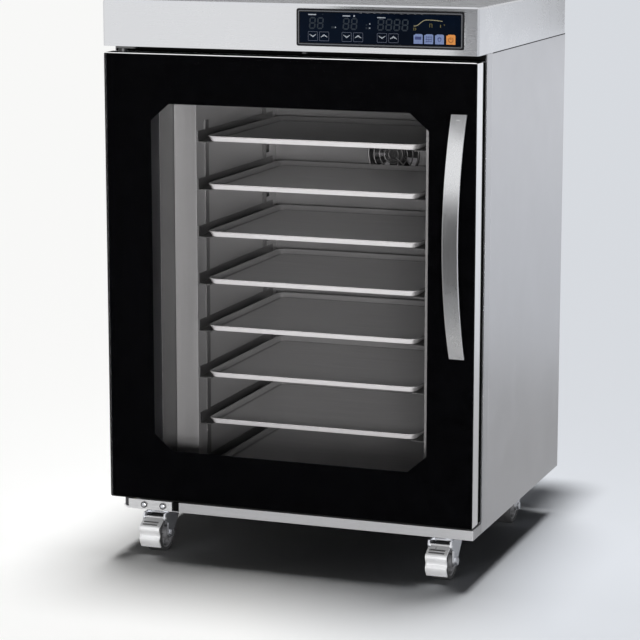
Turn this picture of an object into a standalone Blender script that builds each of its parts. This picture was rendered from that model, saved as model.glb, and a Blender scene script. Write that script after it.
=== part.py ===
"""Proofing cabinet with a glazed door, eight trays and four swivelling casters.

Metres, +Z up, front towards -Y. The origin is on the floor, under the middle of the bounding box.
The cabinet is worked out from its trays outwards: cavity, walls, door, header and casters.
"""
import math

import bmesh
import bpy
from mathutils import Matrix, Vector

# Sheet metal and clearances
SHEET = 0.0012
SEAT = 0.0003
OVERRUN = 0.002
FOLD = 0.015
ROUND_SIDES = 24
SMALL_SIDES = 16
THIN_SIDES = 8
HEX_SIDES = 6
BEND_STEPS = 8
BOSS_STEPS = 6
EYE_STEPS = 3
CORNER_STEPS = 3
SMOOTH_ANGLE_SHARE = 0.2

# Trays
TRAY_COUNT = 8
TRAY_WIDTH = 0.354
TRAY_DEPTH = 0.325
TRAY_HEIGHT = 0.0085
TRAY_PITCH = 0.0755
TRAY_SHEET = 0.001
TRAY_CORNER = 0.018
TRAY_FLARE = 0.003
TRAY_LIP = 0.002

# Cavity and walls round the trays
TRAY_SIDE_GAP = 0.012
TRAY_FLOOR_GAP = 0.0145
TRAY_HEADROOM = 0.1085
TRAY_SETBACK = 0.105
TRAY_REAR_GAP = 0.020
DUCT_WIDTH = 0.038
SIDE_THICKNESS = 0.073
FLOOR_THICKNESS = 0.032
CEILING_THICKNESS = 0.037
REAR_CHAMBER = 0.050
HEADER_HEIGHT = 0.071
HEADER_ROUNDING = 0.004
BASE_HEIGHT = 0.0155
SIDE_TRIM = 0.028
REAR_INSET = 0.004

# Side ducts and tray runners
DUCT_SETBACK = 0.004
OUTLET_LENGTH = 0.030
OUTLET_HEIGHT = 0.013
OUTLET_RISE = 0.030
OUTLET_REAR_GAP = 0.030
RUNNER_SHELF = 0.021
RUNNER_WEB = 0.016
RUNNER_SHEET = 0.0012
RACK_STRIP_WIDTH = 0.014
RACK_STRIP_INSET = 0.030

# Door
DOOR_SIDE_GAP = 0.0015
DOOR_LOWER_GAP = 0.0015
DOOR_UPPER_GAP = 0.0095
DOOR_THICKNESS = 0.0285
DOOR_CORNER = 0.003
DOOR_GLASS = 0.004
DOOR_LIP = 0.0014
DOOR_STILE = 0.060
DOOR_OUTER_WALL = 0.003
DOOR_WALL = 0.002
MASK_THICKNESS = 0.0006
WINDOW_SIDE_BORDER = 0.075
WINDOW_TOP_BORDER = 0.077
WINDOW_BOTTOM_BORDER = 0.080
WINDOW_CHAMFER_WIDTH = 0.030
WINDOW_CHAMFER_HEIGHT = 0.026
INNER_GLASS = 0.004
GASKET_THICKNESS = 0.016
GASKET_WIDTH = 0.012
GASKET_SIDE_INSET = 0.0325
GASKET_END_INSET = 0.002

# Hinges
PIVOT_INSET = 0.0265
PIVOT_SETBACK = 0.0125
PIN_RADIUS = 0.004
PIN_REACH = 0.012
BUSH_RADIUS = 0.0065
BUSH_REACH = 0.010
BUSH_STANDOFF = 0.0005
HINGE_SHEET = 0.003
HINGE_FLANGE_LENGTH = 0.074
HINGE_FLANGE_OFFSET = 0.004
HINGE_FLANGE_ROUNDING = 0.006
HINGE_LUG_HALF = 0.009
HINGE_BLOCK_GAP = 0.022
HINGE_SCREW_RADIUS = 0.0042
HINGE_SCREW_HEAD = 0.0018
HINGE_SCREW_SPACING = 0.032
HINGE_SCREW_INSET = 0.015
# A screw head's outline, as shares of its radius and of its height above the surface
HEAD_PROFILE_SHARES = ((1.00, -0.50), (1.00, 0.20), (0.94, 0.55), (0.70, 0.88), (0.30, 1.00))
HINGE_SLOT = 0.012
HINGE_SLOT_DEPTH = 0.015
BASE_NOTCH = 0.026
UPPER_HINGE_LENGTH = 0.034

# Handle
HANDLE_LENGTH = 0.362
HANDLE_REACH = 0.045
HANDLE_WIDTH = 0.024
HANDLE_BAR = 0.004
HANDLE_ROUNDING = 0.001
HANDLE_INSET = 0.0265
HANDLE_DROP = 0.0775
HANDLE_STEPS = 20
HANDLE_FOOT_INSET = 0.012
HANDLE_FOOT_RADIUS = 0.0065
HANDLE_SCREW_RADIUS = 0.003
HANDLE_SCREW_HEAD_RADIUS = 0.005
HANDLE_SCREW_HEAD = 0.003
HANDLE_SCREW_BITE = 0.002

# Control panel
PANEL_WIDTH = 0.260
PANEL_HEIGHT = 0.0555
PANEL_RIGHT_INSET = 0.022
PANEL_LOWER_INSET = 0.0085
PANEL_BORDER = 0.005
PANEL_PROUD = 0.0025
PANEL_DEPTH = 0.009
PANEL_CORNER = 0.003
PANEL_GLASS = 0.002
PANEL_GLASS_RECESS = 0.0008
DISPLAY_DEPTH = 0.007
DISPLAY_HEIGHT = 0.017
DISPLAY_DROP = 0.0145
DISPLAY_DIGIT = 0.013
DISPLAY_DIGIT_COUNTS = (2, 2, 4)
DISPLAY_PLACE_SHARES = (0.125, 0.330, 0.580)
BOARD_THICKNESS = 0.0016
BOARD_MARGIN = 0.008

# Door contact switch under the header
SWITCH_WIDTH = 0.006
SWITCH_HEIGHT = 0.0035
SWITCH_DEPTH = 0.008
SWITCH_SETBACK = 0.003
SWITCH_X_OFFSET = 0.028

# Fan and heater in the back wall
AIR_LINE_OFFSET = 0.022
FAN_DROP = 0.168
GUARD_RADIUS = 0.044
GUARD_RING_WIDTH = 0.0022
GUARD_DEPTH = 0.003
GUARD_RING_SHARES = (0.36, 0.56, 0.78)
GUARD_LUG_RADIUS = 0.066
GUARD_LUG_SIZE = 0.0055
GUARD_ARM = 0.0026
GUARD_SCREW_RADIUS = 0.0035
GUARD_SCREW_HEAD = 0.0015
SHROUD_WALL = 0.002
SHROUD_DEPTH = 0.036
SHROUD_ARM = 0.006
SHROUD_PLATE = 0.003
MOTOR_RADIUS = 0.015
MOTOR_LENGTH = 0.017
SHAFT_RADIUS = 0.003
SHAFT_LENGTH = 0.009
HUB_RADIUS = 0.017
HUB_LENGTH = 0.008
BLADE_COUNT = 7
BLADE_CHORD = 0.014
BLADE_THICKNESS = 0.0012
BLADE_TIP_GAP = 0.003
BLADE_ROOT_PITCH_DEG = 50.0
BLADE_TIP_PITCH_DEG = 28.0
HEATER_CLEARANCE = 0.010
HEATER_TUBE = 0.0035
HEATER_SETBACK = 0.018
HEATER_GAP_DEG = 20.0
HEATER_STEPS = 32
HEATER_FLANGE = 0.002

# Steam port, tank and water inlet
PORT_RISE = 0.071
PORT_RADIUS = 0.0135
PORT_BORE = 0.008
PORT_NECK = 0.010
PORT_FLANGE = 0.003
PORT_LENGTH = 0.014
TANK_WIDTH = 0.140
TANK_HEIGHT = 0.100
TANK_BELOW_PORT = 0.052
TANK_FRONT_GAP = 0.0128
TANK_HEATER_TUBE = 0.003
TANK_HEATER_SPACING = 0.024
TANK_HEATER_LENGTH = 0.100
TANK_HEATER_RISE = 0.018
TANK_HEATER_FLANGE = 0.004
WATER_PIPE_RADIUS = 0.006
WATER_PIPE_WALL = 0.0016
WATER_PIPE_REACH = 0.018
WATER_NUT_RADIUS = 0.010
WATER_NUT_HEIGHT = 0.006
WATER_X_OFFSET = 0.045

# Rear panel and power inlet
LOUVRE_COUNT = 8
LOUVRE_LENGTH = 0.060
LOUVRE_HEIGHT = 0.004
LOUVRE_PITCH = 0.010
LOUVRE_DROP = 0.060
HEADER_VENT_COUNT = 10
HEADER_VENT_WIDTH = 0.004
HEADER_VENT_PITCH = 0.012
HEADER_VENT_MARGIN = 0.018
INLET_WIDTH = 0.048
INLET_HEIGHT = 0.028
INLET_DEPTH = 0.024
INLET_FLANGE = 0.005
INLET_FLANGE_THICKNESS = 0.003
INLET_RECESS = 0.016
INLET_RIM = 0.004
INLET_SIDE_INSET = 0.085
INLET_RISE = 0.070
PRONG = (0.002, 0.012, 0.005)
PRONG_SPACING = 0.007

# Casters
CASTER_SIDE_INSET = 0.062
CASTER_FRONT_INSET = 0.078
CASTER_REAR_INSET = 0.070
CASTER_TRAIL = 0.025
CASTER_PLATE = 0.060
CASTER_PLATE_THICKNESS = 0.0025
RACE_RADIUS = 0.020
RACE_HEIGHT = 0.0112
WHEEL_RADIUS = 0.030
WHEEL_GAP = 0.0022
TYRE_WIDTH = 0.028
TYRE_THICKNESS = 0.006
TYRE_ROUNDING = 0.003
RIM_THICKNESS = 0.003
RIM_RECESS = 0.0015
WHEEL_HUB_RADIUS = 0.011
WHEEL_HUB_WIDTH = 0.031
WHEEL_WEB = 0.012
FORK_GAP = 0.032
FORK_SHEET = 0.003
FORK_PLATE = 0.0035
FORK_PLATE_RADIUS = 0.022
FORK_BOSS_RADIUS = 0.008
AXLE_RADIUS = 0.004
AXLE_HEAD_RADIUS = 0.0065
AXLE_HEAD = 0.0038
PEDAL_WIDTH = 0.034
PEDAL_SHEET = 0.0024
PEDAL_TAIL = 0.030
PEDAL_PIN_RADIUS = 0.0022
PEDAL_TYRE_GAP = 0.0033
PEDAL_PIVOT_DEG = 33.0
PEDAL_EYE_RADIUS = 0.0048
PEDAL_REACH = 0.0235
PEDAL_DROP = 0.0435
# The pedal's run from its pivot, as shares of its reach and of its drop
PEDAL_RUN_SHARES = (
    (0.00, 0.00), (0.38, 0.08), (0.86, 0.21), (0.97, 0.26), (1.00, 0.32), (0.97, 0.39),
    (0.85, 0.52), (0.83, 0.57), (0.86, 0.62), (0.97, 0.68), (0.98, 0.74), (0.89, 0.84), (0.70, 1.00),
)

# Places worked out from the sizes above
RACE_BOTTOM = 2 * WHEEL_RADIUS + WHEEL_GAP + FORK_PLATE + SEAT
CASTER_HEIGHT = RACE_BOTTOM + RACE_HEIGHT + CASTER_PLATE_THICKNESS + SEAT
CAVITY_HALF = TRAY_WIDTH / 2 + TRAY_SIDE_GAP + DUCT_WIDTH
DUCT_FACE_X = CAVITY_HALF - DUCT_WIDTH
HALF_WIDTH = CAVITY_HALF + SIDE_THICKNESS
CABINET_DEPTH = TRAY_SETBACK + TRAY_DEPTH + TRAY_REAR_GAP + REAR_CHAMBER
FRONT_Y = HANDLE_REACH / 2 - CABINET_DEPTH / 2
REAR_Y = FRONT_Y + CABINET_DEPTH
BODY_FRONT_Y = FRONT_Y + DOOR_THICKNESS + GASKET_THICKNESS + SEAT
TRAY_FRONT_Y = FRONT_Y + TRAY_SETBACK
TRAY_BACK_Y = TRAY_FRONT_Y + TRAY_DEPTH
CAVITY_BACK_Y = TRAY_BACK_Y + TRAY_REAR_GAP
DUCT_FRONT_Y = TRAY_FRONT_Y - DUCT_SETBACK
REAR_SKIN_Y = REAR_Y - REAR_INSET
REAR_INSIDE_Y = REAR_SKIN_Y - SHEET
BASE_TOP = CASTER_HEIGHT + BASE_HEIGHT
CAVITY_FLOOR = CASTER_HEIGHT + FLOOR_THICKNESS
LOWEST_TRAY = CAVITY_FLOOR + TRAY_FLOOR_GAP
TOP_TRAY = LOWEST_TRAY + (TRAY_COUNT - 1) * TRAY_PITCH
CAVITY_TOP = TOP_TRAY + TRAY_HEIGHT + TRAY_HEADROOM
HEADER_BOTTOM = CAVITY_TOP + CEILING_THICKNESS
CABINET_TOP = HEADER_BOTTOM + HEADER_HEIGHT
DOOR_HALF = HALF_WIDTH - DOOR_SIDE_GAP
DOOR_BOTTOM = BASE_TOP + DOOR_LOWER_GAP
DOOR_TOP = HEADER_BOTTOM - DOOR_UPPER_GAP
DOOR_BACK_Y = FRONT_Y + DOOR_THICKNESS
MASK_FRONT_Y = FRONT_Y + DOOR_GLASS + SEAT
POCKET_BACK_Y = MASK_FRONT_Y + MASK_THICKNESS + SEAT
PIVOT_X = -DOOR_HALF + PIVOT_INSET
PIVOT_Y = FRONT_Y + PIVOT_SETBACK
HANDLE_X = DOOR_HALF - HANDLE_INSET
HANDLE_TOP = DOOR_TOP - HANDLE_DROP
HANDLE_BOTTOM = HANDLE_TOP - HANDLE_LENGTH
PANEL_RIGHT = HALF_WIDTH - PANEL_RIGHT_INSET
PANEL_LEFT = PANEL_RIGHT - PANEL_WIDTH
PANEL_BOTTOM = HEADER_BOTTOM + PANEL_LOWER_INSET
PANEL_TOP = PANEL_BOTTOM + PANEL_HEIGHT
PANEL_GLASS_FRONT_Y = FRONT_Y - PANEL_PROUD + PANEL_GLASS_RECESS
PANEL_GLASS_BACK_Y = PANEL_GLASS_FRONT_Y + PANEL_GLASS
FAN_Z = CAVITY_TOP - FAN_DROP
PORT_Z = CAVITY_FLOOR + PORT_RISE
SHROUD_OUTER = GUARD_RADIUS + SHROUD_WALL
LINER_HOLE = SHROUD_OUTER + SEAT

# Colour, roughness and metallic value of each finish
FINISHES = {
    "stainless": ((0.62, 0.62, 0.63), 0.35, 1.0),
    "steel": ((0.55, 0.56, 0.58), 0.40, 1.0),
    "aluminium": ((0.80, 0.80, 0.81), 0.35, 1.0),
    "tray_metal": ((0.60, 0.60, 0.60), 0.25, 1.0),
    "clear_glass": ((0.90, 0.93, 0.93), 0.05, 0.0),
    "black": ((0.010, 0.010, 0.012), 0.15, 0.0),
    "black_plastic": ((0.03, 0.03, 0.03), 0.45, 0.0),
    "black_rubber": ((0.02, 0.02, 0.02), 0.75, 0.0),
    "panel_glass": ((0.012, 0.016, 0.035), 0.12, 0.0),
    "display": ((0.05, 0.05, 0.06), 0.30, 0.0),
    "board": ((0.02, 0.16, 0.08), 0.50, 0.0),
    "wool": ((0.72, 0.66, 0.45), 0.95, 0.0),
    "chrome": ((0.80, 0.80, 0.80), 0.12, 1.0),
    "grey_plastic": ((0.45, 0.46, 0.47), 0.45, 0.0),
    "brass": ((0.75, 0.58, 0.27), 0.35, 1.0),
}


# Scene, rigs and objects
def clear_scene():
    for item in list(bpy.data.objects):
        bpy.data.objects.remove(item, do_unlink=True)


class Rig:
    """An empty on a joint's axis, and where it stands in the world."""

    def __init__(self, name, place, parent=None):
        self.place = Vector(place)
        self.empty = bpy.data.objects.new(name, None)
        bpy.context.collection.objects.link(self.empty)
        self.empty.location = self.place
        if parent:
            self.empty.parent = parent.empty
            self.empty.location = self.place - parent.place


def make_material(name, finish):
    colour, roughness, metallic = FINISHES[finish]
    material = bpy.data.materials.new(name)
    material.use_nodes = True
    shader = material.node_tree.nodes["Principled BSDF"]
    shader.inputs["Base Color"].default_value = (*colour, 1)
    shader.inputs["Roughness"].default_value = roughness
    shader.inputs["Metallic"].default_value = metallic
    if finish == "clear_glass":
        shader.inputs["Transmission Weight"].default_value = 1
    return material


def join_shapes(shapes):
    """One bmesh that holds every shape as a separate body."""
    joined = bmesh.new()
    for shape in shapes:
        mesh = bpy.data.meshes.new("shape")
        shape.to_mesh(mesh)
        joined.from_mesh(mesh)
        shape.free()
        bpy.data.meshes.remove(mesh)
    return joined


def make_node(name, shapes, finish, rig=None, smooth=False):
    """An object whose origin is on its rig's axis, from shapes given in world places."""
    joined = join_shapes(shapes)
    if rig:
        bmesh.ops.translate(joined, verts=joined.verts, vec=-rig.place)
    mesh = bpy.data.meshes.new(name)
    joined.to_mesh(mesh)
    joined.free()
    if smooth:
        mesh.shade_smooth()
        mesh.set_sharp_from_angle(angle=math.pi * SMOOTH_ANGLE_SHARE)
    mesh.materials.append(make_material(name + "_finish", finish))
    node = bpy.data.objects.new(name, mesh)
    bpy.context.collection.objects.link(node)
    if rig:
        node.parent = rig.empty
    return node


def combine(base, tool, operation="DIFFERENCE"):
    """The exact Boolean of two shapes, which are used up."""
    scratch = []
    for label, shape in (("base", base), ("tool", tool)):
        mesh = bpy.data.meshes.new(label)
        shape.to_mesh(mesh)
        shape.free()
        item = bpy.data.objects.new(label, mesh)
        bpy.context.collection.objects.link(item)
        scratch.append(item)
    modifier = scratch[0].modifiers.new("combine", "BOOLEAN")
    modifier.operation = operation
    modifier.solver = "EXACT"
    modifier.object = scratch[1]
    result = bmesh.new()
    result.from_object(scratch[0], bpy.context.evaluated_depsgraph_get())
    for item in scratch:
        mesh = item.data
        bpy.data.objects.remove(item, do_unlink=True)
        bpy.data.meshes.remove(mesh)
    return result


def cut(base, *tools):
    return combine(base, join_shapes(tools))


def unite(base, *tools):
    for tool in tools:
        base = combine(base, tool, "UNION")
    return base


# Shapes
def on_axis(axis, across, up, along):
    """A world point from two coordinates across an axis and one along it."""
    if axis == "X":
        return Vector((along, across, up))
    if axis == "Y":
        return Vector((across, along, up))
    return Vector((across, up, along))


def loft_shape(loops, closed=False):
    """A closed body through loops of equal length, capped at its ends or joined round."""
    shape = bmesh.new()
    rings = [[shape.verts.new(point) for point in loop] for loop in loops]
    pairs = list(zip(rings, rings[1:]))
    if closed:
        pairs.append((rings[-1], rings[0]))
    for first, second in pairs:
        for index in range(len(first)):
            after = (index + 1) % len(first)
            shape.faces.new((first[index], first[after], second[after], second[index]))
    if not closed:
        shape.faces.new(rings[0])
        shape.faces.new(rings[-1])
    bmesh.ops.recalc_face_normals(shape, faces=shape.faces)
    return shape


def prism_shape(outline, axis, start, end):
    """An outline of two coordinates, carried along an axis."""
    return loft_shape([[on_axis(axis, a, b, along) for a, b in outline] for along in (start, end)])


def frame_shape(outer, inner, axis, start, end):
    """A frame between two outlines that have as many points as each other."""
    loops = []
    for outline, along in ((outer, start), (outer, end), (inner, end), (inner, start)):
        loops.append([on_axis(axis, a, b, along) for a, b in outline])
    return loft_shape(loops, closed=True)


def rectangle(across, up):
    return [(across[0], up[0]), (across[1], up[0]), (across[1], up[1]), (across[0], up[1])]


def box_shape(x_range, y_range, z_range):
    return prism_shape(rectangle(x_range, y_range), "Z", *z_range)


def circle_outline(centre, radius, sides):
    points = []
    for index in range(sides):
        angle = 2 * math.pi * index / sides
        points.append((centre[0] + radius * math.cos(angle), centre[1] + radius * math.sin(angle)))
    return points


def rod_shape(centre, radius, axis, start, end, sides=ROUND_SIDES):
    return prism_shape(circle_outline(centre, radius, sides), axis, start, end)


def ring_shape(centre, inner, outer, axis, start, end, sides=ROUND_SIDES):
    return frame_shape(circle_outline(centre, outer, sides), circle_outline(centre, inner, sides),
                       axis, start, end)


def rounded_outline(x_range, y_range, radius, steps=CORNER_STEPS):
    """A rectangle with round corners; one step makes plain chamfers."""
    points = []
    corners = ((x_range[1], y_range[1], 0), (x_range[0], y_range[1], 1),
               (x_range[0], y_range[0], 2), (x_range[1], y_range[0], 3))
    for x, y, quarter in corners:
        centre_x = x - math.copysign(radius, x - x_range[0] - x_range[1] + x)
        centre_y = y - math.copysign(radius, y - y_range[0] - y_range[1] + y)
        for step in range(steps + 1):
            angle = (quarter + step / steps) * math.pi / 2
            points.append((centre_x + radius * math.cos(angle), centre_y + radius * math.sin(angle)))
    return points


def turned_shape(profile, axis, centre, sides=ROUND_SIDES):
    """A closed profile of (radius, along) points, turned about an axis through centre."""
    loops = []
    for radius, along in profile:
        outline = circle_outline(centre, radius, sides)
        loops.append([on_axis(axis, a, b, along) for a, b in outline])
    return loft_shape(loops, closed=True)


def tube_shape(path, radius, sides):
    """A round bar along a path of points that lie in one plane."""
    path = [Vector(point) for point in path]
    normal = (path[1] - path[0]).cross(path[-1] - path[0])
    if normal.length < radius * radius:
        normal = (path[1] - path[0]).orthogonal()
    normal.normalize()
    loops = []
    for index, point in enumerate(path):
        before = path[max(index - 1, 0)]
        after = path[min(index + 1, len(path) - 1)]
        forward = (after - before).normalized()
        side = forward.cross(normal).normalized()
        loop = []
        for step in range(sides):
            angle = 2 * math.pi * step / sides
            loop.append(point + radius * (math.cos(angle) * side + math.sin(angle) * normal))
        loops.append(loop)
    return loft_shape(loops)


def rounded_box(x_range, y_range, z_range, radius):
    """A box whose upright and upper edges are round."""
    shape = box_shape(x_range, y_range, z_range)
    low = min(vert.co.z for vert in shape.verts)
    edges = [edge for edge in shape.edges if any(vert.co.z > low for vert in edge.verts)]
    bmesh.ops.bevel(shape, geom=edges, offset=radius, offset_type="OFFSET", segments=CORNER_STEPS,
                    profile=1 / 2, affect="EDGES", clamp_overlap=True)
    return shape


def span(centre, size):
    return (centre - size / 2, centre + size / 2)


# Cabinet shell
def make_base_pan():
    inner_half = HALF_WIDTH - SHEET - SEAT
    rail_left = PIVOT_X + HINGE_BLOCK_GAP
    plate_right = PIVOT_X + HINGE_FLANGE_OFFSET + HINGE_FLANGE_LENGTH
    slot_right = plate_right + HINGE_SLOT
    z_range = (CASTER_HEIGHT, BASE_TOP)
    pan = box_shape((-inner_half, inner_half), (BODY_FRONT_Y - 2 * SHEET, REAR_INSIDE_Y - SEAT), z_range)
    rail = box_shape((rail_left, HALF_WIDTH), (FRONT_Y, BODY_FRONT_Y - SEAT), z_range)
    pan = unite(pan, rail)
    hollow = box_shape((SHEET - inner_half, inner_half - SHEET),
                       (BODY_FRONT_Y + SHEET, REAR_INSIDE_Y - SEAT - SHEET),
                       (CASTER_HEIGHT + SHEET, BASE_TOP + OVERRUN))
    under_rail = box_shape((slot_right + SHEET, HALF_WIDTH - SHEET),
                           (FRONT_Y + SHEET, BODY_FRONT_Y - 3 * SHEET),
                           (CASTER_HEIGHT - OVERRUN, BASE_TOP - SHEET))
    plate_seat = box_shape((rail_left - OVERRUN, plate_right + SEAT),
                           (FRONT_Y - OVERRUN, FRONT_Y + HINGE_SHEET + SEAT),
                           (CASTER_HEIGHT - OVERRUN, BASE_TOP + OVERRUN))
    slot = box_shape((plate_right - OVERRUN, slot_right), (FRONT_Y - OVERRUN, FRONT_Y + HINGE_SLOT_DEPTH),
                     (CASTER_HEIGHT + SHEET, BASE_TOP + OVERRUN))
    notch = box_shape((-HALF_WIDTH, BASE_NOTCH - HALF_WIDTH), (FRONT_Y, BODY_FRONT_Y + SIDE_TRIM),
                      (CASTER_HEIGHT - OVERRUN, BASE_TOP + OVERRUN))
    drain = rod_shape((AIR_LINE_OFFSET + WATER_X_OFFSET, tank_middle_y()), WATER_PIPE_RADIUS + SEAT, "Z",
                      CASTER_HEIGHT - OVERRUN, BASE_TOP, SMALL_SIDES)
    for tool in (hollow, under_rail, plate_seat, slot, notch, drain):
        pan = cut(pan, tool)
    make_node("base_pan", [pan], "stainless")


def make_side_panel(name, side):
    """A folded sheet: the outer face with a flange turned inwards at the front and at the rear."""
    outer = side * HALF_WIDTH
    inner = side * (HALF_WIDTH - SHEET)
    fold = side * (HALF_WIDTH - FOLD)
    front = BODY_FRONT_Y + SIDE_TRIM + SEAT
    outline = [(outer, front), (outer, REAR_Y), (inner, REAR_Y), (inner, front + SHEET),
               (fold, front + SHEET), (fold, front)]
    face = prism_shape(outline, "Z", BASE_TOP + SEAT, HEADER_BOTTOM - SEAT)
    skirt = box_shape(sorted((outer, inner)), (front, REAR_Y), (CASTER_HEIGHT, BASE_TOP + OVERRUN))
    make_node(name, [unite(face, skirt)], "stainless")


def make_rear_panel():
    half = HALF_WIDTH - SHEET - SEAT
    z_range = (BASE_TOP + SEAT, HEADER_BOTTOM - SEAT)
    panel = box_shape((-half, half), (REAR_INSIDE_Y, REAR_SKIN_Y), z_range)
    tools = []
    for index in range(LOUVRE_COUNT):
        middle = HEADER_BOTTOM - LOUVRE_DROP - index * LOUVRE_PITCH
        for side in (-1, 1):
            tools.append(box_shape(span(side * half / 2, LOUVRE_LENGTH),
                                   (REAR_INSIDE_Y - OVERRUN, REAR_SKIN_Y + OVERRUN),
                                   span(middle, LOUVRE_HEIGHT)))
    inlet_x, inlet_z = inlet_middle()
    tools.append(box_shape(span(inlet_x, INLET_WIDTH + 2 * SEAT),
                           (REAR_INSIDE_Y - OVERRUN, REAR_SKIN_Y + OVERRUN),
                           span(inlet_z, INLET_HEIGHT + 2 * SEAT)))
    make_node("rear_panel", [cut(panel, *tools)], "stainless")


def make_front_frame():
    """The face round the cavity's mouth, with a trim turned back along each side of the cabinet."""
    y_range = (BODY_FRONT_Y, BODY_FRONT_Y + SHEET)
    top = HEADER_BOTTOM - SEAT
    bottom = BASE_TOP + SEAT
    outer = rounded_outline((-HALF_WIDTH, HALF_WIDTH), (bottom, top), SHEET / 2, 1)
    inner = rounded_outline((-CAVITY_HALF, CAVITY_HALF), (CAVITY_FLOOR, CAVITY_TOP), SHEET, 1)
    frame = frame_shape(outer, inner, "Y", *y_range)
    right = box_shape((HALF_WIDTH - SHEET, HALF_WIDTH), (BODY_FRONT_Y, BODY_FRONT_Y + SIDE_TRIM),
                      (CASTER_HEIGHT, top))
    left = box_shape((-HALF_WIDTH, SHEET - HALF_WIDTH), (BODY_FRONT_Y, BODY_FRONT_Y + SIDE_TRIM),
                     (bottom, top))
    make_node("front_frame", [unite(frame, right, left)], "stainless")


def make_liner():
    x_range = (-CAVITY_HALF - SHEET, CAVITY_HALF + SHEET)
    front = BODY_FRONT_Y + SHEET + SEAT
    liner = box_shape(x_range, (front, CAVITY_BACK_Y + SHEET), (CAVITY_FLOOR - SHEET, CAVITY_TOP + SHEET))
    cavity = box_shape((-CAVITY_HALF, CAVITY_HALF), (front - OVERRUN, CAVITY_BACK_Y),
                       (CAVITY_FLOOR, CAVITY_TOP))
    fan_hole = rod_shape((AIR_LINE_OFFSET, FAN_Z), LINER_HOLE, "Y", CAVITY_BACK_Y - OVERRUN,
                         CAVITY_BACK_Y + SHEET + OVERRUN)
    port_hole = rod_shape((AIR_LINE_OFFSET, PORT_Z), PORT_NECK + SEAT, "Y", CAVITY_BACK_Y - OVERRUN,
                          CAVITY_BACK_Y + SHEET + OVERRUN)
    make_node("cavity_liner", [cut(cut(liner, cavity), fan_hole, port_hole)], "stainless")


def make_insulation():
    """A sleeve of board between the liner and the skin."""
    inner = CAVITY_HALF + SHEET + SEAT
    outer = HALF_WIDTH - FOLD - SEAT
    outside = rectangle((-outer, outer), (CASTER_HEIGHT + SHEET + SEAT, HEADER_BOTTOM - SEAT))
    inside = rectangle((-inner, inner), (CAVITY_FLOOR - SHEET - SEAT, CAVITY_TOP + SHEET + SEAT))
    sleeve = frame_shape(outside, inside, "Y", BODY_FRONT_Y + SHEET + SEAT, CAVITY_BACK_Y)
    make_node("insulation", [sleeve], "wool")


def make_header():
    x_range = (-HALF_WIDTH, HALF_WIDTH)
    cover = rounded_box(x_range, (FRONT_Y, REAR_Y), (HEADER_BOTTOM, CABINET_TOP), HEADER_ROUNDING)
    room = rounded_box((SHEET - HALF_WIDTH, HALF_WIDTH - SHEET), (FRONT_Y + SHEET, REAR_Y - SHEET),
                       (HEADER_BOTTOM - OVERRUN, CABINET_TOP - SHEET), HEADER_ROUNDING - SHEET)
    window = box_shape((PANEL_LEFT + PANEL_BORDER / 2 - SEAT, PANEL_RIGHT - PANEL_BORDER / 2 + SEAT),
                       (FRONT_Y - OVERRUN, FRONT_Y + SHEET + OVERRUN),
                       (PANEL_BOTTOM + PANEL_BORDER / 2 - SEAT, PANEL_TOP - PANEL_BORDER / 2 + SEAT))
    tools = [window]
    vent_z = (HEADER_BOTTOM + HEADER_VENT_MARGIN, CABINET_TOP - HEADER_VENT_MARGIN)
    for index in range(HEADER_VENT_COUNT):
        middle = (index - (HEADER_VENT_COUNT - 1) / 2) * HEADER_VENT_PITCH
        tools.append(box_shape(span(middle, HEADER_VENT_WIDTH),
                               (REAR_Y - SHEET - OVERRUN, REAR_Y + OVERRUN), vent_z))
    make_node("header_cover", [cut(cut(cover, room), *tools)], "stainless")
    edge = SHEET + SEAT
    outline = rounded_outline((edge - HALF_WIDTH, HALF_WIDTH - edge), (FRONT_Y + edge, REAR_Y - edge),
                              HEADER_ROUNDING)
    floor = prism_shape(outline, "Z", HEADER_BOTTOM, HEADER_BOTTOM + SHEET)
    make_node("header_floor", [floor], "stainless")


# Cavity fittings
def tray_bottom(number):
    """Trays are numbered from the top down."""
    return LOWEST_TRAY + (TRAY_COUNT - number) * TRAY_PITCH


def make_tray(number):
    """A shallow pan with a flared wall and a small turned lip."""
    bottom = tray_bottom(number)
    top = bottom + TRAY_HEIGHT
    flared = TRAY_LIP + TRAY_FLARE
    stations = (
        (flared + TRAY_SHEET, bottom),
        (flared, bottom + TRAY_SHEET),
        (TRAY_LIP, top - 2 * TRAY_SHEET),
        (0, top - TRAY_SHEET),
        (TRAY_SHEET / 2, top),
        (TRAY_LIP + TRAY_SHEET, top),
        (flared + TRAY_SHEET, bottom + 2 * TRAY_SHEET),
        (flared + 2 * TRAY_SHEET, bottom + TRAY_SHEET),
    )
    loops = []
    for inset, height in stations:
        outline = rounded_outline((inset - TRAY_WIDTH / 2, TRAY_WIDTH / 2 - inset),
                                  (TRAY_FRONT_Y + inset, TRAY_BACK_Y - inset), TRAY_CORNER - inset,
                                  CORNER_STEPS + 1)
        loops.append([Vector((x, y, height)) for x, y in outline])
    make_node("tray_" + str(number), [loft_shape(loops)], "tray_metal", smooth=True)


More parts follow.
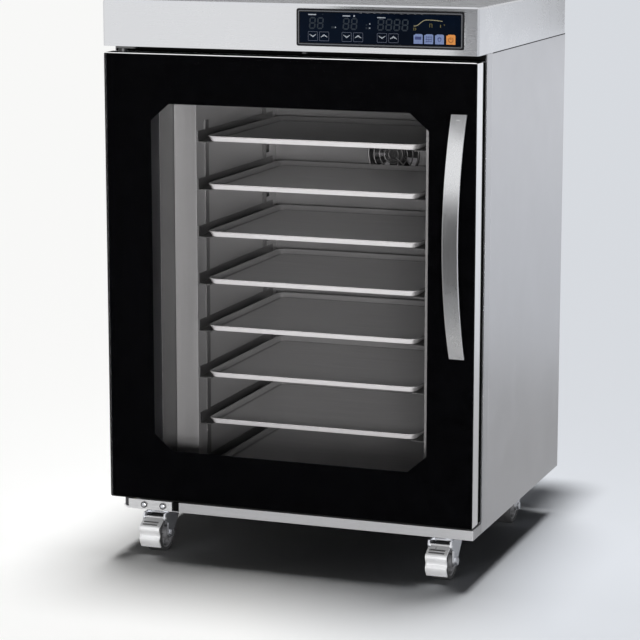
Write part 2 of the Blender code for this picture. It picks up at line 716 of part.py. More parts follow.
def make_duct(name, side):
    """A folded air duct along one side of the cavity, with an outlet above each runner."""
    face = side * DUCT_FACE_X
    wall = side * (CAVITY_HALF - SEAT)
    inner = face + side * SHEET
    back = CAVITY_BACK_Y - SEAT
    outline = [(wall, DUCT_FRONT_Y), (face, DUCT_FRONT_Y), (face, back), (wall, back),
               (wall, back - SHEET), (inner, back - SHEET), (inner, DUCT_FRONT_Y + SHEET),
               (wall, DUCT_FRONT_Y + SHEET)]
    duct = prism_shape(outline, "Z", CAVITY_FLOOR + SEAT, CAVITY_TOP - SEAT)
    outlet_y = (back - OUTLET_REAR_GAP - OUTLET_LENGTH, back - OUTLET_REAR_GAP)
    tools = []
    for number in range(1, TRAY_COUNT + 1):
        middle = tray_bottom(number) + OUTLET_RISE
        tools.append(box_shape(sorted((face - side * OVERRUN, inner + side * OVERRUN)), outlet_y,
                               span(middle, OUTLET_HEIGHT)))
    make_node(name, [cut(duct, *tools)], "stainless")


def make_rack(name, side):
    """Angles that the trays rest on, joined by two upright strips against the duct's face."""
    web = side * (DUCT_FACE_X - SEAT)
    web_inner = web - side * RUNNER_SHEET
    shelf = web - side * RUNNER_SHELF
    runners = []
    for number in range(1, TRAY_COUNT + 1):
        top = tray_bottom(number) - SEAT
        outline = [(web, top - RUNNER_SHEET), (web, top + RUNNER_WEB), (web_inner, top + RUNNER_WEB),
                   (web_inner, top), (shelf, top), (shelf, top - RUNNER_SHEET)]
        runners.append(prism_shape(outline, "Y", TRAY_FRONT_Y, TRAY_BACK_Y))
    strips = []
    for start in (TRAY_FRONT_Y + RACK_STRIP_INSET, TRAY_BACK_Y - RACK_STRIP_INSET - RACK_STRIP_WIDTH):
        strips.append(box_shape(sorted((web, web_inner)), (start, start + RACK_STRIP_WIDTH),
                                (CAVITY_FLOOR + SEAT, TOP_TRAY + RUNNER_WEB + RACK_STRIP_WIDTH)))
    make_node(name, [unite(join_shapes(runners), join_shapes(strips))], "stainless")


# Fan, heater and steam
def diagonal_places(radius):
    """Four places at equal distances on the fan's diagonals."""
    places = []
    for quarter in range(4):
        angle = (quarter + 1 / 2) * math.pi / 2
        places.append((AIR_LINE_OFFSET + radius * math.cos(angle), FAN_Z + radius * math.sin(angle)))
    return places


def make_fan_guard():
    centre = (AIR_LINE_OFFSET, FAN_Z)
    back = CAVITY_BACK_Y - SEAT
    front = back - GUARD_DEPTH
    rings = []
    for share in GUARD_RING_SHARES:
        radius = GUARD_RADIUS * share
        rings.append(ring_shape(centre, radius - GUARD_RING_WIDTH / 2, radius + GUARD_RING_WIDTH / 2, "Y",
                                front + GUARD_RING_WIDTH / 2, back - GUARD_RING_WIDTH / 4))
    guard = ring_shape(centre, GUARD_RADIUS - GUARD_RING_WIDTH, GUARD_RADIUS + GUARD_RING_WIDTH, "Y",
                       front, back)
    arms = []
    lugs = []
    reach = GUARD_LUG_RADIUS * GUARD_RING_SHARES[0]
    for quarter, place in enumerate(diagonal_places(GUARD_LUG_RADIUS)):
        lugs.append(rod_shape(place, GUARD_LUG_SIZE, "Y", front + GUARD_RING_WIDTH / 4, back, SMALL_SIDES))
        angle = (quarter + 1 / 2) * math.pi / 2
        arm = box_shape((reach / 2, GUARD_LUG_RADIUS), (front + GUARD_RING_WIDTH / 3, back),
                        (-GUARD_ARM / 2, GUARD_ARM / 2))
        turn = Matrix.Rotation(-angle, 4, "Y")
        bmesh.ops.transform(arm, matrix=Matrix.Translation((AIR_LINE_OFFSET, 0, FAN_Z)) @ turn,
                            verts=arm.verts)
        arms.append(arm)
    screws = []
    for place in diagonal_places(GUARD_LUG_RADIUS):
        screws.append(rod_shape(place, GUARD_SCREW_RADIUS, "Y", front - GUARD_SCREW_HEAD / 2,
                                back - GUARD_DEPTH / 2, SMALL_SIDES))
    guard = unite(guard, join_shapes(arms), join_shapes(rings), join_shapes(lugs), join_shapes(screws))
    make_node("fan_guard", [guard], "steel", smooth=True)


def shroud_back():
    return CAVITY_BACK_Y + SHROUD_DEPTH


def motor_front():
    return shroud_back() - SHROUD_PLATE - MOTOR_LENGTH


def make_fan_frame():
    """A ring through the back wall, with a spider behind that carries the motor."""
    centre = (AIR_LINE_OFFSET, FAN_Z)
    back = shroud_back()
    shroud = ring_shape(centre, GUARD_RADIUS, SHROUD_OUTER, "Y", CAVITY_BACK_Y, back)
    motor = rod_shape(centre, MOTOR_RADIUS, "Y", motor_front(), back)
    flat = box_shape(span(AIR_LINE_OFFSET, 2 * GUARD_RADIUS + SHROUD_WALL), (back - SHROUD_PLATE, back),
                     span(FAN_Z, SHROUD_ARM))
    upright = box_shape(span(AIR_LINE_OFFSET, SHROUD_ARM), (back - SHROUD_PLATE, back),
                        span(FAN_Z, 2 * GUARD_RADIUS + SHROUD_WALL))
    bore = rod_shape(centre, SHAFT_RADIUS + SEAT, "Y", motor_front() - OVERRUN,
                     motor_front() + SHAFT_LENGTH + SEAT, SMALL_SIDES)
    frame = cut(unite(shroud, unite(motor, flat, upright)), bore)
    make_node("fan_frame", [frame], "black_plastic", smooth=True)


def blade_shape(index, middle_y, tip_radius):
    """One twisted blade: four corners at the root and four at the tip."""
    loops = []
    stations = ((HUB_RADIUS - BLADE_THICKNESS, BLADE_ROOT_PITCH_DEG), (tip_radius, BLADE_TIP_PITCH_DEG))
    turn = Matrix.Rotation(2 * math.pi * index / BLADE_COUNT, 3, "Y")
    for radius, pitch in stations:
        along = Vector((0, math.sin(math.radians(pitch)), math.cos(math.radians(pitch))))
        across = Vector((0, along.z, -along.y))
        loop = []
        for chord, skin in ((-1, -1), (1, -1), (1, 1), (-1, 1)):
            point = chord * BLADE_CHORD / 2 * along + skin * BLADE_THICKNESS / 2 * across
            point.x = radius
            place = turn @ point
            loop.append(place + Vector((AIR_LINE_OFFSET, middle_y, FAN_Z)))
        loops.append(loop)
    return loft_shape(loops)


def make_impeller(rig):
    """Seven twisted blades on a hub, whose shaft runs in the motor."""
    centre = (AIR_LINE_OFFSET, FAN_Z)
    back = motor_front() - SEAT
    front = back - HUB_LENGTH
    hub = rod_shape(centre, HUB_RADIUS, "Y", front, back)
    shaft = rod_shape(centre, SHAFT_RADIUS, "Y", (front + back) / 2, back + SHAFT_LENGTH, SMALL_SIDES)
    blades = [blade_shape(index, (front + back) / 2, GUARD_RADIUS - BLADE_TIP_GAP)
              for index in range(BLADE_COUNT)]
    make_node("fan_impeller", [unite(hub, shaft, join_shapes(blades))], "black_plastic", rig)


def make_heater():
    """A tubular element round the shroud, with both ends turned back to a terminal plate."""
    radius = SHROUD_OUTER + HEATER_CLEARANCE + HEATER_TUBE
    ring_y = CAVITY_BACK_Y + HEATER_SETBACK
    plate_back = REAR_INSIDE_Y - SEAT
    plate_front = plate_back - HEATER_FLANGE
    gap = math.radians(HEATER_GAP_DEG)
    ring = []
    for step in range(HEATER_STEPS + 1):
        angle = gap / 2 + (2 * math.pi - gap) * step / HEATER_STEPS
        ring.append((AIR_LINE_OFFSET + radius * math.cos(angle), ring_y, FAN_Z + radius * math.sin(angle)))
    element = tube_shape(ring, HEATER_TUBE, SMALL_SIDES)
    for end in (ring[0], ring[-1]):
        leg = rod_shape((end[0], end[2]), HEATER_TUBE, "Y", ring_y - HEATER_TUBE,
                        plate_front + HEATER_FLANGE / 2, SMALL_SIDES)
        element = unite(element, leg)
    half = radius * math.sin(gap / 2) + 2 * HEATER_TUBE
    plate = box_shape(span(ring[0][0], 4 * HEATER_TUBE), (plate_front, plate_back), span(FAN_Z, 2 * half))
    make_node("air_heater", [unite(element, plate)], "steel", smooth=True)


def make_steam_port():
    back = CAVITY_BACK_Y - SEAT
    profile = [(PORT_BORE, back - PORT_FLANGE), (PORT_RADIUS, back - PORT_FLANGE), (PORT_RADIUS, back),
               (PORT_NECK, back), (PORT_NECK, CAVITY_BACK_Y + PORT_LENGTH),
               (PORT_BORE, CAVITY_BACK_Y + PORT_LENGTH)]
    port = turned_shape(profile, "Y", (AIR_LINE_OFFSET, PORT_Z))
    make_node("steam_port", [port], "black_rubber", smooth=True)


def tank_middle_y():
    return (CAVITY_BACK_Y + TANK_FRONT_GAP + REAR_INSIDE_Y - SEAT) / 2


def tank_bottom():
    return PORT_Z - TANK_BELOW_PORT


def make_steam_tank():
    x_range = span(AIR_LINE_OFFSET, TANK_WIDTH)
    y_range = (CAVITY_BACK_Y + TANK_FRONT_GAP, REAR_INSIDE_Y - SEAT)
    z_range = (tank_bottom(), tank_bottom() + TANK_HEIGHT)
    tank = box_shape(x_range, y_range, z_range)
    room = box_shape((x_range[0] + SHEET, x_range[1] - SHEET), (y_range[0] + SHEET, y_range[1] - SHEET),
                     (z_range[0] + SHEET, z_range[1] - SHEET))
    mouth = rod_shape((AIR_LINE_OFFSET, PORT_Z), PORT_NECK + SEAT, "Y", y_range[0] - OVERRUN,
                      y_range[0] + SHEET + OVERRUN)
    low = tank_bottom() + TANK_HEATER_RISE
    heater_slot = box_shape((x_range[1] - SHEET - OVERRUN, x_range[1] + OVERRUN),
                            span(tank_middle_y(), 2 * (TANK_HEATER_TUBE + SEAT)),
                            (low - TANK_HEATER_TUBE - SEAT,
                             low + TANK_HEATER_SPACING + TANK_HEATER_TUBE + SEAT))
    filler = rod_shape((AIR_LINE_OFFSET + WATER_X_OFFSET, tank_middle_y()),
                       WATER_PIPE_RADIUS - WATER_PIPE_WALL, "Z", tank_bottom() - OVERRUN,
                       tank_bottom() + SHEET + OVERRUN, SMALL_SIDES)
    make_node("steam_tank", [cut(cut(tank, room), mouth, heater_slot, filler)], "stainless")


def make_tank_heater():
    """A hairpin immersion element with its flange on the end of the tank."""
    wall = AIR_LINE_OFFSET + TANK_WIDTH / 2
    low = tank_bottom() + TANK_HEATER_RISE
    middle = low + TANK_HEATER_SPACING / 2
    bend_x = wall - TANK_HEATER_LENGTH
    path = [(wall + TANK_HEATER_FLANGE / 2, tank_middle_y(), low)]
    for step in range(BEND_STEPS + 1):
        angle = math.pi * (3 / 2 - step / BEND_STEPS)
        path.append((bend_x + TANK_HEATER_SPACING / 2 * math.cos(angle), tank_middle_y(),
                     middle + TANK_HEATER_SPACING / 2 * math.sin(angle)))
    path.append((wall + TANK_HEATER_FLANGE / 2, tank_middle_y(), low + TANK_HEATER_SPACING))
    element = tube_shape(path, TANK_HEATER_TUBE, THIN_SIDES)
    flange = box_shape((wall + SEAT, wall + TANK_HEATER_FLANGE), span(tank_middle_y(), 4 * TANK_HEATER_TUBE),
                       span(middle, TANK_HEATER_SPACING + 4 * TANK_HEATER_TUBE))
    make_node("tank_heater", [unite(element, flange)], "steel", smooth=True)


def make_water_inlet():
    place = (AIR_LINE_OFFSET + WATER_X_OFFSET, tank_middle_y())
    foot = CASTER_HEIGHT - WATER_PIPE_REACH
    pipe = rod_shape(place, WATER_PIPE_RADIUS, "Z", foot, tank_bottom() - SEAT, SMALL_SIDES)
    nut = rod_shape(place, WATER_NUT_RADIUS, "Z", CASTER_HEIGHT - SEAT - WATER_NUT_HEIGHT,
                    CASTER_HEIGHT - SEAT, HEX_SIDES)
    bore = rod_shape(place, WATER_PIPE_RADIUS - WATER_PIPE_WALL, "Z", foot - OVERRUN, tank_bottom(),
                     SMALL_SIDES)
    make_node("water_inlet", [cut(unite(pipe, nut), bore)], "brass", smooth=True)


# Header fittings
def make_control_panel():
    outer = rounded_outline((PANEL_LEFT, PANEL_RIGHT), (PANEL_BOTTOM, PANEL_TOP), PANEL_CORNER)
    inner_x = (PANEL_LEFT + PANEL_BORDER, PANEL_RIGHT - PANEL_BORDER)
    inner_z = (PANEL_BOTTOM + PANEL_BORDER, PANEL_TOP - PANEL_BORDER)
    inner = rounded_outline(inner_x, inner_z, PANEL_CORNER / 2)
    front = FRONT_Y - PANEL_PROUD
    bezel = frame_shape(outer, inner, "Y", front, FRONT_Y - SEAT)
    half_border = PANEL_BORDER / 2
    neck_outer = rounded_outline((PANEL_LEFT + half_border, PANEL_RIGHT - half_border),
                                 (PANEL_BOTTOM + half_border, PANEL_TOP - half_border), half_border / 2)
    neck = frame_shape(neck_outer, inner, "Y", front + PANEL_PROUD / 2, front + PANEL_DEPTH)
    make_node("control_bezel", [unite(bezel, neck)], "black_plastic", smooth=True)
    glass = rounded_outline((inner_x[0] + SEAT, inner_x[1] - SEAT), (inner_z[0] + SEAT, inner_z[1] - SEAT),
                            PANEL_CORNER / 2)
    make_node("control_glass", [prism_shape(glass, "Y", PANEL_GLASS_FRONT_Y, PANEL_GLASS_BACK_Y)],
              "panel_glass")
    modules = []
    module_y = (PANEL_GLASS_BACK_Y + SEAT, PANEL_GLASS_BACK_Y + SEAT + DISPLAY_DEPTH)
    for digits, share in zip(DISPLAY_DIGIT_COUNTS, DISPLAY_PLACE_SHARES):
        middle = PANEL_LEFT + PANEL_WIDTH * share
        modules.append(box_shape(span(middle, digits * DISPLAY_DIGIT), module_y,
                                 span(PANEL_TOP - DISPLAY_DROP - DISPLAY_HEIGHT / 2, DISPLAY_HEIGHT)))
    board_y = module_y[1] - BOARD_THICKNESS / 2
    board = box_shape((PANEL_LEFT + BOARD_MARGIN, PANEL_RIGHT - BOARD_MARGIN),
                      (board_y, board_y + BOARD_THICKNESS),
                      (PANEL_BOTTOM + BOARD_MARGIN, PANEL_TOP - BOARD_MARGIN))
    make_node("display_board", [unite(board, join_shapes(modules))], "board")


def make_door_switch():
    top = HEADER_BOTTOM - SEAT
    front = FRONT_Y + SWITCH_SETBACK
    body = box_shape(span(SWITCH_X_OFFSET, SWITCH_WIDTH), (front, front + SWITCH_DEPTH),
                     (top - SWITCH_HEIGHT, top))
    make_node("door_switch", [body], "black_plastic")


def inlet_middle():
    return (HALF_WIDTH - INLET_SIDE_INSET, BASE_TOP + INLET_RISE)


def make_power_inlet():
    """A recessed appliance inlet with three prongs, flush inside the rear skin's inset."""
    x, z = inlet_middle()
    skin = REAR_SKIN_Y + SEAT
    flange = box_shape(span(x, INLET_WIDTH + 2 * INLET_FLANGE), (skin, skin + INLET_FLANGE_THICKNESS),
                       span(z, INLET_HEIGHT + 2 * INLET_FLANGE))
    front = skin + INLET_FLANGE_THICKNESS - INLET_DEPTH
    body = box_shape(span(x, INLET_WIDTH), (front, skin + INLET_FLANGE_THICKNESS / 2), span(z, INLET_HEIGHT))
    recess = box_shape(span(x, INLET_WIDTH - 2 * INLET_RIM),
                       (skin + INLET_FLANGE_THICKNESS - INLET_RECESS,
                        skin + INLET_FLANGE_THICKNESS + OVERRUN),
                       span(z, INLET_HEIGHT - 2 * INLET_RIM))
    inlet = cut(unite(flange, body), recess)
    recess_floor = skin + INLET_FLANGE_THICKNESS - INLET_RECESS
    prongs = []
    for place in (-1, 0, 1):
        prongs.append(box_shape(span(x + place * PRONG_SPACING, PRONG[0]),
                                (recess_floor - PRONG[0], recess_floor + PRONG[1]),
                                span(z + (1 - abs(place)) * PRONG[2] / 2, PRONG[2])))
    make_node("power_inlet", [unite(inlet, join_shapes(prongs))], "black_plastic")


# Hinges
def screw_head(place, axis, surface, height):
    """A low round head on a surface; its height is negative where it stands out towards the origin."""
    loops = []
    for radius_share, height_share in HEAD_PROFILE_SHARES:
        outline = circle_outline(place, HINGE_SCREW_RADIUS * radius_share, SMALL_SIDES)
        loops.append([on_axis(axis, a, b, surface + height * height_share) for a, b in outline])
    return loft_shape(loops)


def make_lower_hinge():
    """A front flange on the base, with a lug turned back under the door that carries the pin."""
    left = PIVOT_X + HINGE_FLANGE_OFFSET
    right = left + HINGE_FLANGE_LENGTH
    top = BASE_TOP
    bottom = CASTER_HEIGHT
    radius = HINGE_FLANGE_ROUNDING
    outline = [(right, bottom), (right, top), (left, top)]
    for step in range(CORNER_STEPS + 1):
        angle = math.pi * (1 + step / CORNER_STEPS / 2)
        outline.append((left + radius + radius * math.cos(angle),
                        bottom + radius + radius * math.sin(angle)))
    flange = prism_shape(outline, "Y", FRONT_Y, FRONT_Y + HINGE_SHEET)
    lug_outline = [(PIVOT_X + HINGE_BLOCK_GAP - SEAT, PIVOT_Y + HINGE_LUG_HALF)]
    for step in range(CORNER_STEPS * 2 + 1):
        angle = math.pi * (1 / 2 + step / CORNER_STEPS / 4)
        lug_outline.append((PIVOT_X + HINGE_LUG_HALF * math.cos(angle),
                            PIVOT_Y + HINGE_LUG_HALF * math.sin(angle)))
    lug_outline.append((PIVOT_X, FRONT_Y + HINGE_SHEET / 2))
    lug_outline.append((PIVOT_X + HINGE_BLOCK_GAP - SEAT, FRONT_Y + HINGE_SHEET / 2))
    lug = prism_shape(lug_outline, "Z", bottom, bottom + HINGE_SHEET)
    pin = rod_shape((PIVOT_X, PIVOT_Y), PIN_RADIUS, "Z", bottom + HINGE_SHEET / 2, DOOR_BOTTOM + PIN_REACH,
                    SMALL_SIDES)
    screws = []
    for place in (right - HINGE_SCREW_INSET - HINGE_SCREW_SPACING, right - HINGE_SCREW_INSET):
        screws.append(screw_head((place, bottom + BASE_HEIGHT / 2), "Y", FRONT_Y, -HINGE_SCREW_HEAD))
    make_node("hinge_plate_lower", [unite(flange, lug, pin, join_shapes(screws))], "stainless")


def make_upper_hinge():
    """A plate under the header with the upper pin and its fixing screw."""
    top = HEADER_BOTTOM - SEAT
    outline = rounded_outline((PIVOT_X - HINGE_LUG_HALF, PIVOT_X - HINGE_LUG_HALF + UPPER_HINGE_LENGTH),
                              (PIVOT_Y - HINGE_LUG_HALF, PIVOT_Y + HINGE_LUG_HALF), HINGE_FLANGE_ROUNDING)
    plate = prism_shape(outline, "Z", top - HINGE_SHEET, top)
    pin = rod_shape((PIVOT_X, PIVOT_Y), PIN_RADIUS, "Z", DOOR_TOP - PIN_REACH, top - HINGE_SHEET / 2,
                    SMALL_SIDES)
    place = (PIVOT_X + UPPER_HINGE_LENGTH - 2 * HINGE_LUG_HALF, PIVOT_Y)
    screw = screw_head(place, "Z", top - HINGE_SHEET, -HINGE_SCREW_HEAD)
    make_node("hinge_plate_upper", [unite(plate, pin, screw)], "stainless")


def make_hinge_bushes(rig):
    place = (PIVOT_X, PIVOT_Y)
    bore = PIN_RADIUS + SEAT
    lower = (CASTER_HEIGHT + HINGE_SHEET + BUSH_STANDOFF, DOOR_BOTTOM + BUSH_REACH)
    upper = (DOOR_TOP - BUSH_REACH, HEADER_BOTTOM - HINGE_SHEET - SEAT - BUSH_STANDOFF)
    for name, z_range in (("lower", lower), ("upper", upper)):
        bush = ring_shape(place, bore, BUSH_RADIUS, "Z", *z_range, SMALL_SIDES)
        make_node("hinge_bush_" + name, [bush], "black_plastic", rig, smooth=True)


# Door
def door_outline(inset, radius):
    return rounded_outline((inset - DOOR_HALF, DOOR_HALF - inset), (DOOR_BOTTOM + inset, DOOR_TOP - inset),
                           radius, CORNER_STEPS)


def handle_feet():
    return ((HANDLE_X, HANDLE_TOP - HANDLE_FOOT_INSET), (HANDLE_X, HANDLE_BOTTOM + HANDLE_FOOT_INSET))


def screw_holes(y_range):
    return [rod_shape(place, HANDLE_SCREW_RADIUS + SEAT, "Y", *y_range, SMALL_SIDES)
            for place in handle_feet()]


def make_door_frame(rig):
    """A ring of channel: an outer wall, a back wall and an inner wall, open towards the glass."""
    frame = frame_shape(door_outline(0, DOOR_CORNER), door_outline(DOOR_STILE, DOOR_CORNER), "Y", FRONT_Y,
                        DOOR_BACK_Y)
    pocket = prism_shape(door_outline(DOOR_LIP, DOOR_CORNER - DOOR_LIP), "Y", FRONT_Y - OVERRUN,
                         POCKET_BACK_Y)
    channel = frame_shape(door_outline(DOOR_OUTER_WALL, DOOR_CORNER),
                          door_outline(DOOR_STILE - DOOR_WALL, DOOR_CORNER), "Y",
                          POCKET_BACK_Y - OVERRUN, DOOR_BACK_Y - DOOR_WALL)
    bush_hole = rod_shape((PIVOT_X, PIVOT_Y), BUSH_RADIUS + SEAT, "Z", DOOR_BOTTOM - OVERRUN,
                          DOOR_BOTTOM + DOOR_OUTER_WALL + OVERRUN, SMALL_SIDES)
    top_hole = rod_shape((PIVOT_X, PIVOT_Y), BUSH_RADIUS + SEAT, "Z", DOOR_TOP - DOOR_OUTER_WALL - OVERRUN,
                         DOOR_TOP + OVERRUN, SMALL_SIDES)
    frame = cut(cut(frame, pocket), channel)
    frame = cut(frame, bush_hole, top_hole)
    frame = cut(frame, *screw_holes((DOOR_BACK_Y - DOOR_WALL - OVERRUN, DOOR_BACK_Y + OVERRUN)))
    make_node("door_frame", [frame], "aluminium", rig)


def window_ranges():
    return ((WINDOW_SIDE_BORDER - DOOR_HALF, DOOR_HALF - WINDOW_SIDE_BORDER),
            (DOOR_BOTTOM + WINDOW_BOTTOM_BORDER, DOOR_TOP - WINDOW_TOP_BORDER))


def window_outline():
    """The clear window: a rectangle with its four corners cut off."""
    (left, right), (low, high) = window_ranges()
    wide = WINDOW_CHAMFER_WIDTH
    tall = WINDOW_CHAMFER_HEIGHT
    return [(right, high - tall), (right - wide, high), (left + wide, high), (left, high - tall),
            (left, low + tall), (left + wide, low), (right - wide, low), (right, low + tall)]


def make_door_glass(rig):
    inset = DOOR_LIP + SEAT
    radius = DOOR_CORNER - DOOR_LIP
    y_range = (FRONT_Y, FRONT_Y + DOOR_GLASS)
    outer = prism_shape(door_outline(inset, radius), "Y", *y_range)
    hole_range = (FRONT_Y - OVERRUN, POCKET_BACK_Y)
    make_node("door_glass_outer", [cut(outer, *screw_holes(hole_range))], "clear_glass", rig)
    border = prism_shape(door_outline(inset, radius), "Y", MASK_FRONT_Y, MASK_FRONT_Y + MASK_THICKNESS)
    window = prism_shape(window_outline(), "Y", MASK_FRONT_Y - OVERRUN, MASK_FRONT_Y + OVERRUN)
    make_node("door_border", [cut(border, window, *screw_holes(hole_range))], "black", rig)
    inner = prism_shape(door_outline(DOOR_STILE + SEAT, DOOR_CORNER), "Y",
                        DOOR_BACK_Y - DOOR_WALL / 2 - INNER_GLASS, DOOR_BACK_Y - DOOR_WALL / 2)
    make_node("door_glass_inner", [inner], "clear_glass", rig)


def make_gasket(rig):
    """A hollow-looking magnetic seal, with a groove along its face."""
    outer_x = DOOR_HALF - GASKET_SIDE_INSET
    outer_z = (DOOR_BOTTOM + GASKET_END_INSET, DOOR_TOP - GASKET_END_INSET)
    outer = rounded_outline((-outer_x, outer_x), outer_z, DOOR_CORNER)
    width = GASKET_WIDTH
    inner = rounded_outline((width - outer_x, outer_x - width), (outer_z[0] + width, outer_z[1] - width),
                            DOOR_CORNER)
    gasket = frame_shape(outer, inner, "Y", DOOR_BACK_Y + SEAT, BODY_FRONT_Y - SEAT)
    make_node("door_gasket", [gasket], "black_rubber", rig)


def make_handle(rig):
    """A flat bar bowed out from the glass, on two round feet."""
    glass = FRONT_Y - SEAT
    rise = HANDLE_REACH - SEAT - HANDLE_BAR
    half = HANDLE_LENGTH / 2
    radius = (half * half + rise * rise) / (2 * rise)
    reach = math.asin(half / radius)
    middle_z = (HANDLE_TOP + HANDLE_BOTTOM) / 2
    centre_y = glass - rise + radius
    loops = []
    section = rounded_outline(span(HANDLE_X, HANDLE_WIDTH), (0, HANDLE_BAR), HANDLE_ROUNDING, 2)
    for step in range(HANDLE_STEPS + 1):
        angle = reach * (2 * step / HANDLE_STEPS - 1)
        loop = []
        for x, depth in section:
            distance = radius + depth
            loop.append(Vector((x, centre_y - distance * math.cos(angle),
                                middle_z + distance * math.sin(angle))))
        loops.append(loop)
    bar = loft_shape(loops)
    behind = box_shape(span(HANDLE_X, 2 * HANDLE_WIDTH), (glass, glass + rise),
                       span(middle_z, 2 * HANDLE_LENGTH))
    bar = cut(bar, behind)
    for place in handle_feet():
        angle = math.asin((place[1] - middle_z) / radius)
        bar_y = centre_y - radius * math.cos(angle)
        bar = unite(bar, rod_shape(place, HANDLE_FOOT_RADIUS, "Y", bar_y - HANDLE_BAR / 2, glass))
    bores = [rod_shape(place, HANDLE_SCREW_RADIUS + SEAT, "Y", glass - HANDLE_SCREW_BITE - SEAT,
                       glass + OVERRUN, SMALL_SIDES) for place in handle_feet()]
    make_node("door_handle", [cut(bar, *bores)], "stainless", rig, smooth=True)


def make_handle_screws(rig):
    head = DOOR_BACK_Y + SEAT
    for name, place in zip(("upper", "lower"), handle_feet()):
        shank = rod_shape(place, HANDLE_SCREW_RADIUS, "Y", FRONT_Y - SEAT - HANDLE_SCREW_BITE,
                          head + HANDLE_SCREW_HEAD / 2, SMALL_SIDES)
        cap = rod_shape(place, HANDLE_SCREW_HEAD_RADIUS, "Y", head, head + HANDLE_SCREW_HEAD, SMALL_SIDES)
        make_node("handle_screw_" + name, [unite(cap, shank)], "steel", rig, smooth=True)


# Casters
CASTER_PLACES = {
    "front_left": (CASTER_SIDE_INSET - HALF_WIDTH, FRONT_Y + CASTER_FRONT_INSET),
    "front_right": (HALF_WIDTH - CASTER_SIDE_INSET, FRONT_Y + CASTER_FRONT_INSET),
    "rear_left": (CASTER_SIDE_INSET - HALF_WIDTH, REAR_Y - CASTER_REAR_INSET),
    "rear_right": (HALF_WIDTH - CASTER_SIDE_INSET, REAR_Y - CASTER_REAR_INSET),
}


def make_caster_plate(name, x, y):
    """A top plate under the base, with the fixed half of its ball race."""
    top = CASTER_HEIGHT - SEAT
    plate = box_shape(span(x, CASTER_PLATE), span(y, CASTER_PLATE), (top - CASTER_PLATE_THICKNESS, top))
    race = rod_shape((x, y), RACE_RADIUS, "Z", RACE_BOTTOM, top - CASTER_PLATE_THICKNESS / 2)
    make_node("caster_plate_" + name, [unite(plate, race)], "steel", smooth=True)


def make_fork(name, x, y, rig):
    """A stamped fork: a round top plate and two legs, with the axle bolt across them."""
    top = RACE_BOTTOM - SEAT
    axle = (y - CASTER_TRAIL, WHEEL_RADIUS)
    plate = rod_shape((x, y), FORK_PLATE_RADIUS, "Z", top - FORK_PLATE, top)
    eye = pedal_pivot(y)
    outline = [(y + CASTER_TRAIL / 2, top), (y + CASTER_TRAIL / 2, top - 2 * FORK_PLATE)]
    for step in range(BOSS_STEPS + 1):
        angle = -math.pi * (1 + 3 * step / BOSS_STEPS) / 4
        outline.append((axle[0] + FORK_BOSS_RADIUS * math.cos(angle),
                        axle[1] + FORK_BOSS_RADIUS * math.sin(angle)))
    outline.append((axle[0] - FORK_BOSS_RADIUS, eye[1] - 2 * PEDAL_EYE_RADIUS))
    for step in range(EYE_STEPS + 1):
        angle = -math.pi * (1 + step / EYE_STEPS) / 2
        outline.append((eye[0] + PEDAL_EYE_RADIUS * math.cos(angle),
                        eye[1] + PEDAL_EYE_RADIUS * math.sin(angle)))
    outline.append((eye[0] - PEDAL_EYE_RADIUS / 2, top))
    legs = []
    for side in (-1, 1):
        inner = x + side * FORK_GAP / 2
        legs.append(prism_shape(outline, "X", *sorted((inner, inner + side * FORK_SHEET))))
    bridge = box_shape(span(x, FORK_GAP + 2 * FORK_SHEET),
                       (axle[0] - FORK_BOSS_RADIUS / 2, y + CASTER_TRAIL / 2 - FORK_PLATE / 4),
                       (top - FORK_PLATE, top - FORK_PLATE / 4))
    half = FORK_GAP / 2 + FORK_SHEET
    bolt = rod_shape(axle, AXLE_RADIUS, "X", x - half, x + half, SMALL_SIDES)
    heads = []
    for side in (-1, 1):
        ends = sorted((x + side * (half - FORK_SHEET / 2), x + side * (half + AXLE_HEAD)))
        heads.append(rod_shape(axle, AXLE_HEAD_RADIUS, "X", *ends, HEX_SIDES))
    fork = unite(plate, join_shapes(legs), bridge, bolt, join_shapes(heads))
    fork = cut(fork, rod_shape(eye, PEDAL_PIN_RADIUS + SEAT, "X", x - FORK_GAP, x + FORK_GAP, SMALL_SIDES))
    make_node("caster_fork_" + name, [fork], "steel", rig, smooth=True)


def make_wheel(name, x, y, rig):
    """A rubber tyre on a hub with a thin web, turned in one outline."""
    axle = (y - CASTER_TRAIL, WHEEL_RADIUS)
    rim = WHEEL_RADIUS - TYRE_THICKNESS
    flange = rim - RIM_THICKNESS
    bore = AXLE_RADIUS + SEAT
    half = []
    for radius, away in ((bore, WHEEL_HUB_WIDTH / 2), (WHEEL_HUB_RADIUS, WHEEL_HUB_WIDTH / 2),
                         (WHEEL_HUB_RADIUS, WHEEL_WEB / 2), (flange, WHEEL_WEB / 2),
                         (flange, TYRE_WIDTH / 2 - RIM_RECESS), (rim, TYRE_WIDTH / 2 - RIM_RECESS),
                         (rim, TYRE_WIDTH / 2), (WHEEL_RADIUS - TYRE_ROUNDING, TYRE_WIDTH / 2),
                         (WHEEL_RADIUS, TYRE_WIDTH / 2 - TYRE_ROUNDING)):
        half.append((radius, away))
    profile = [(radius, x - away) for radius, away in half]
    profile += [(radius, x + away) for radius, away in reversed(half)]
    make_node("caster_wheel_" + name, [turned_shape(profile, "X", axle)], "black_rubber", rig, smooth=True)


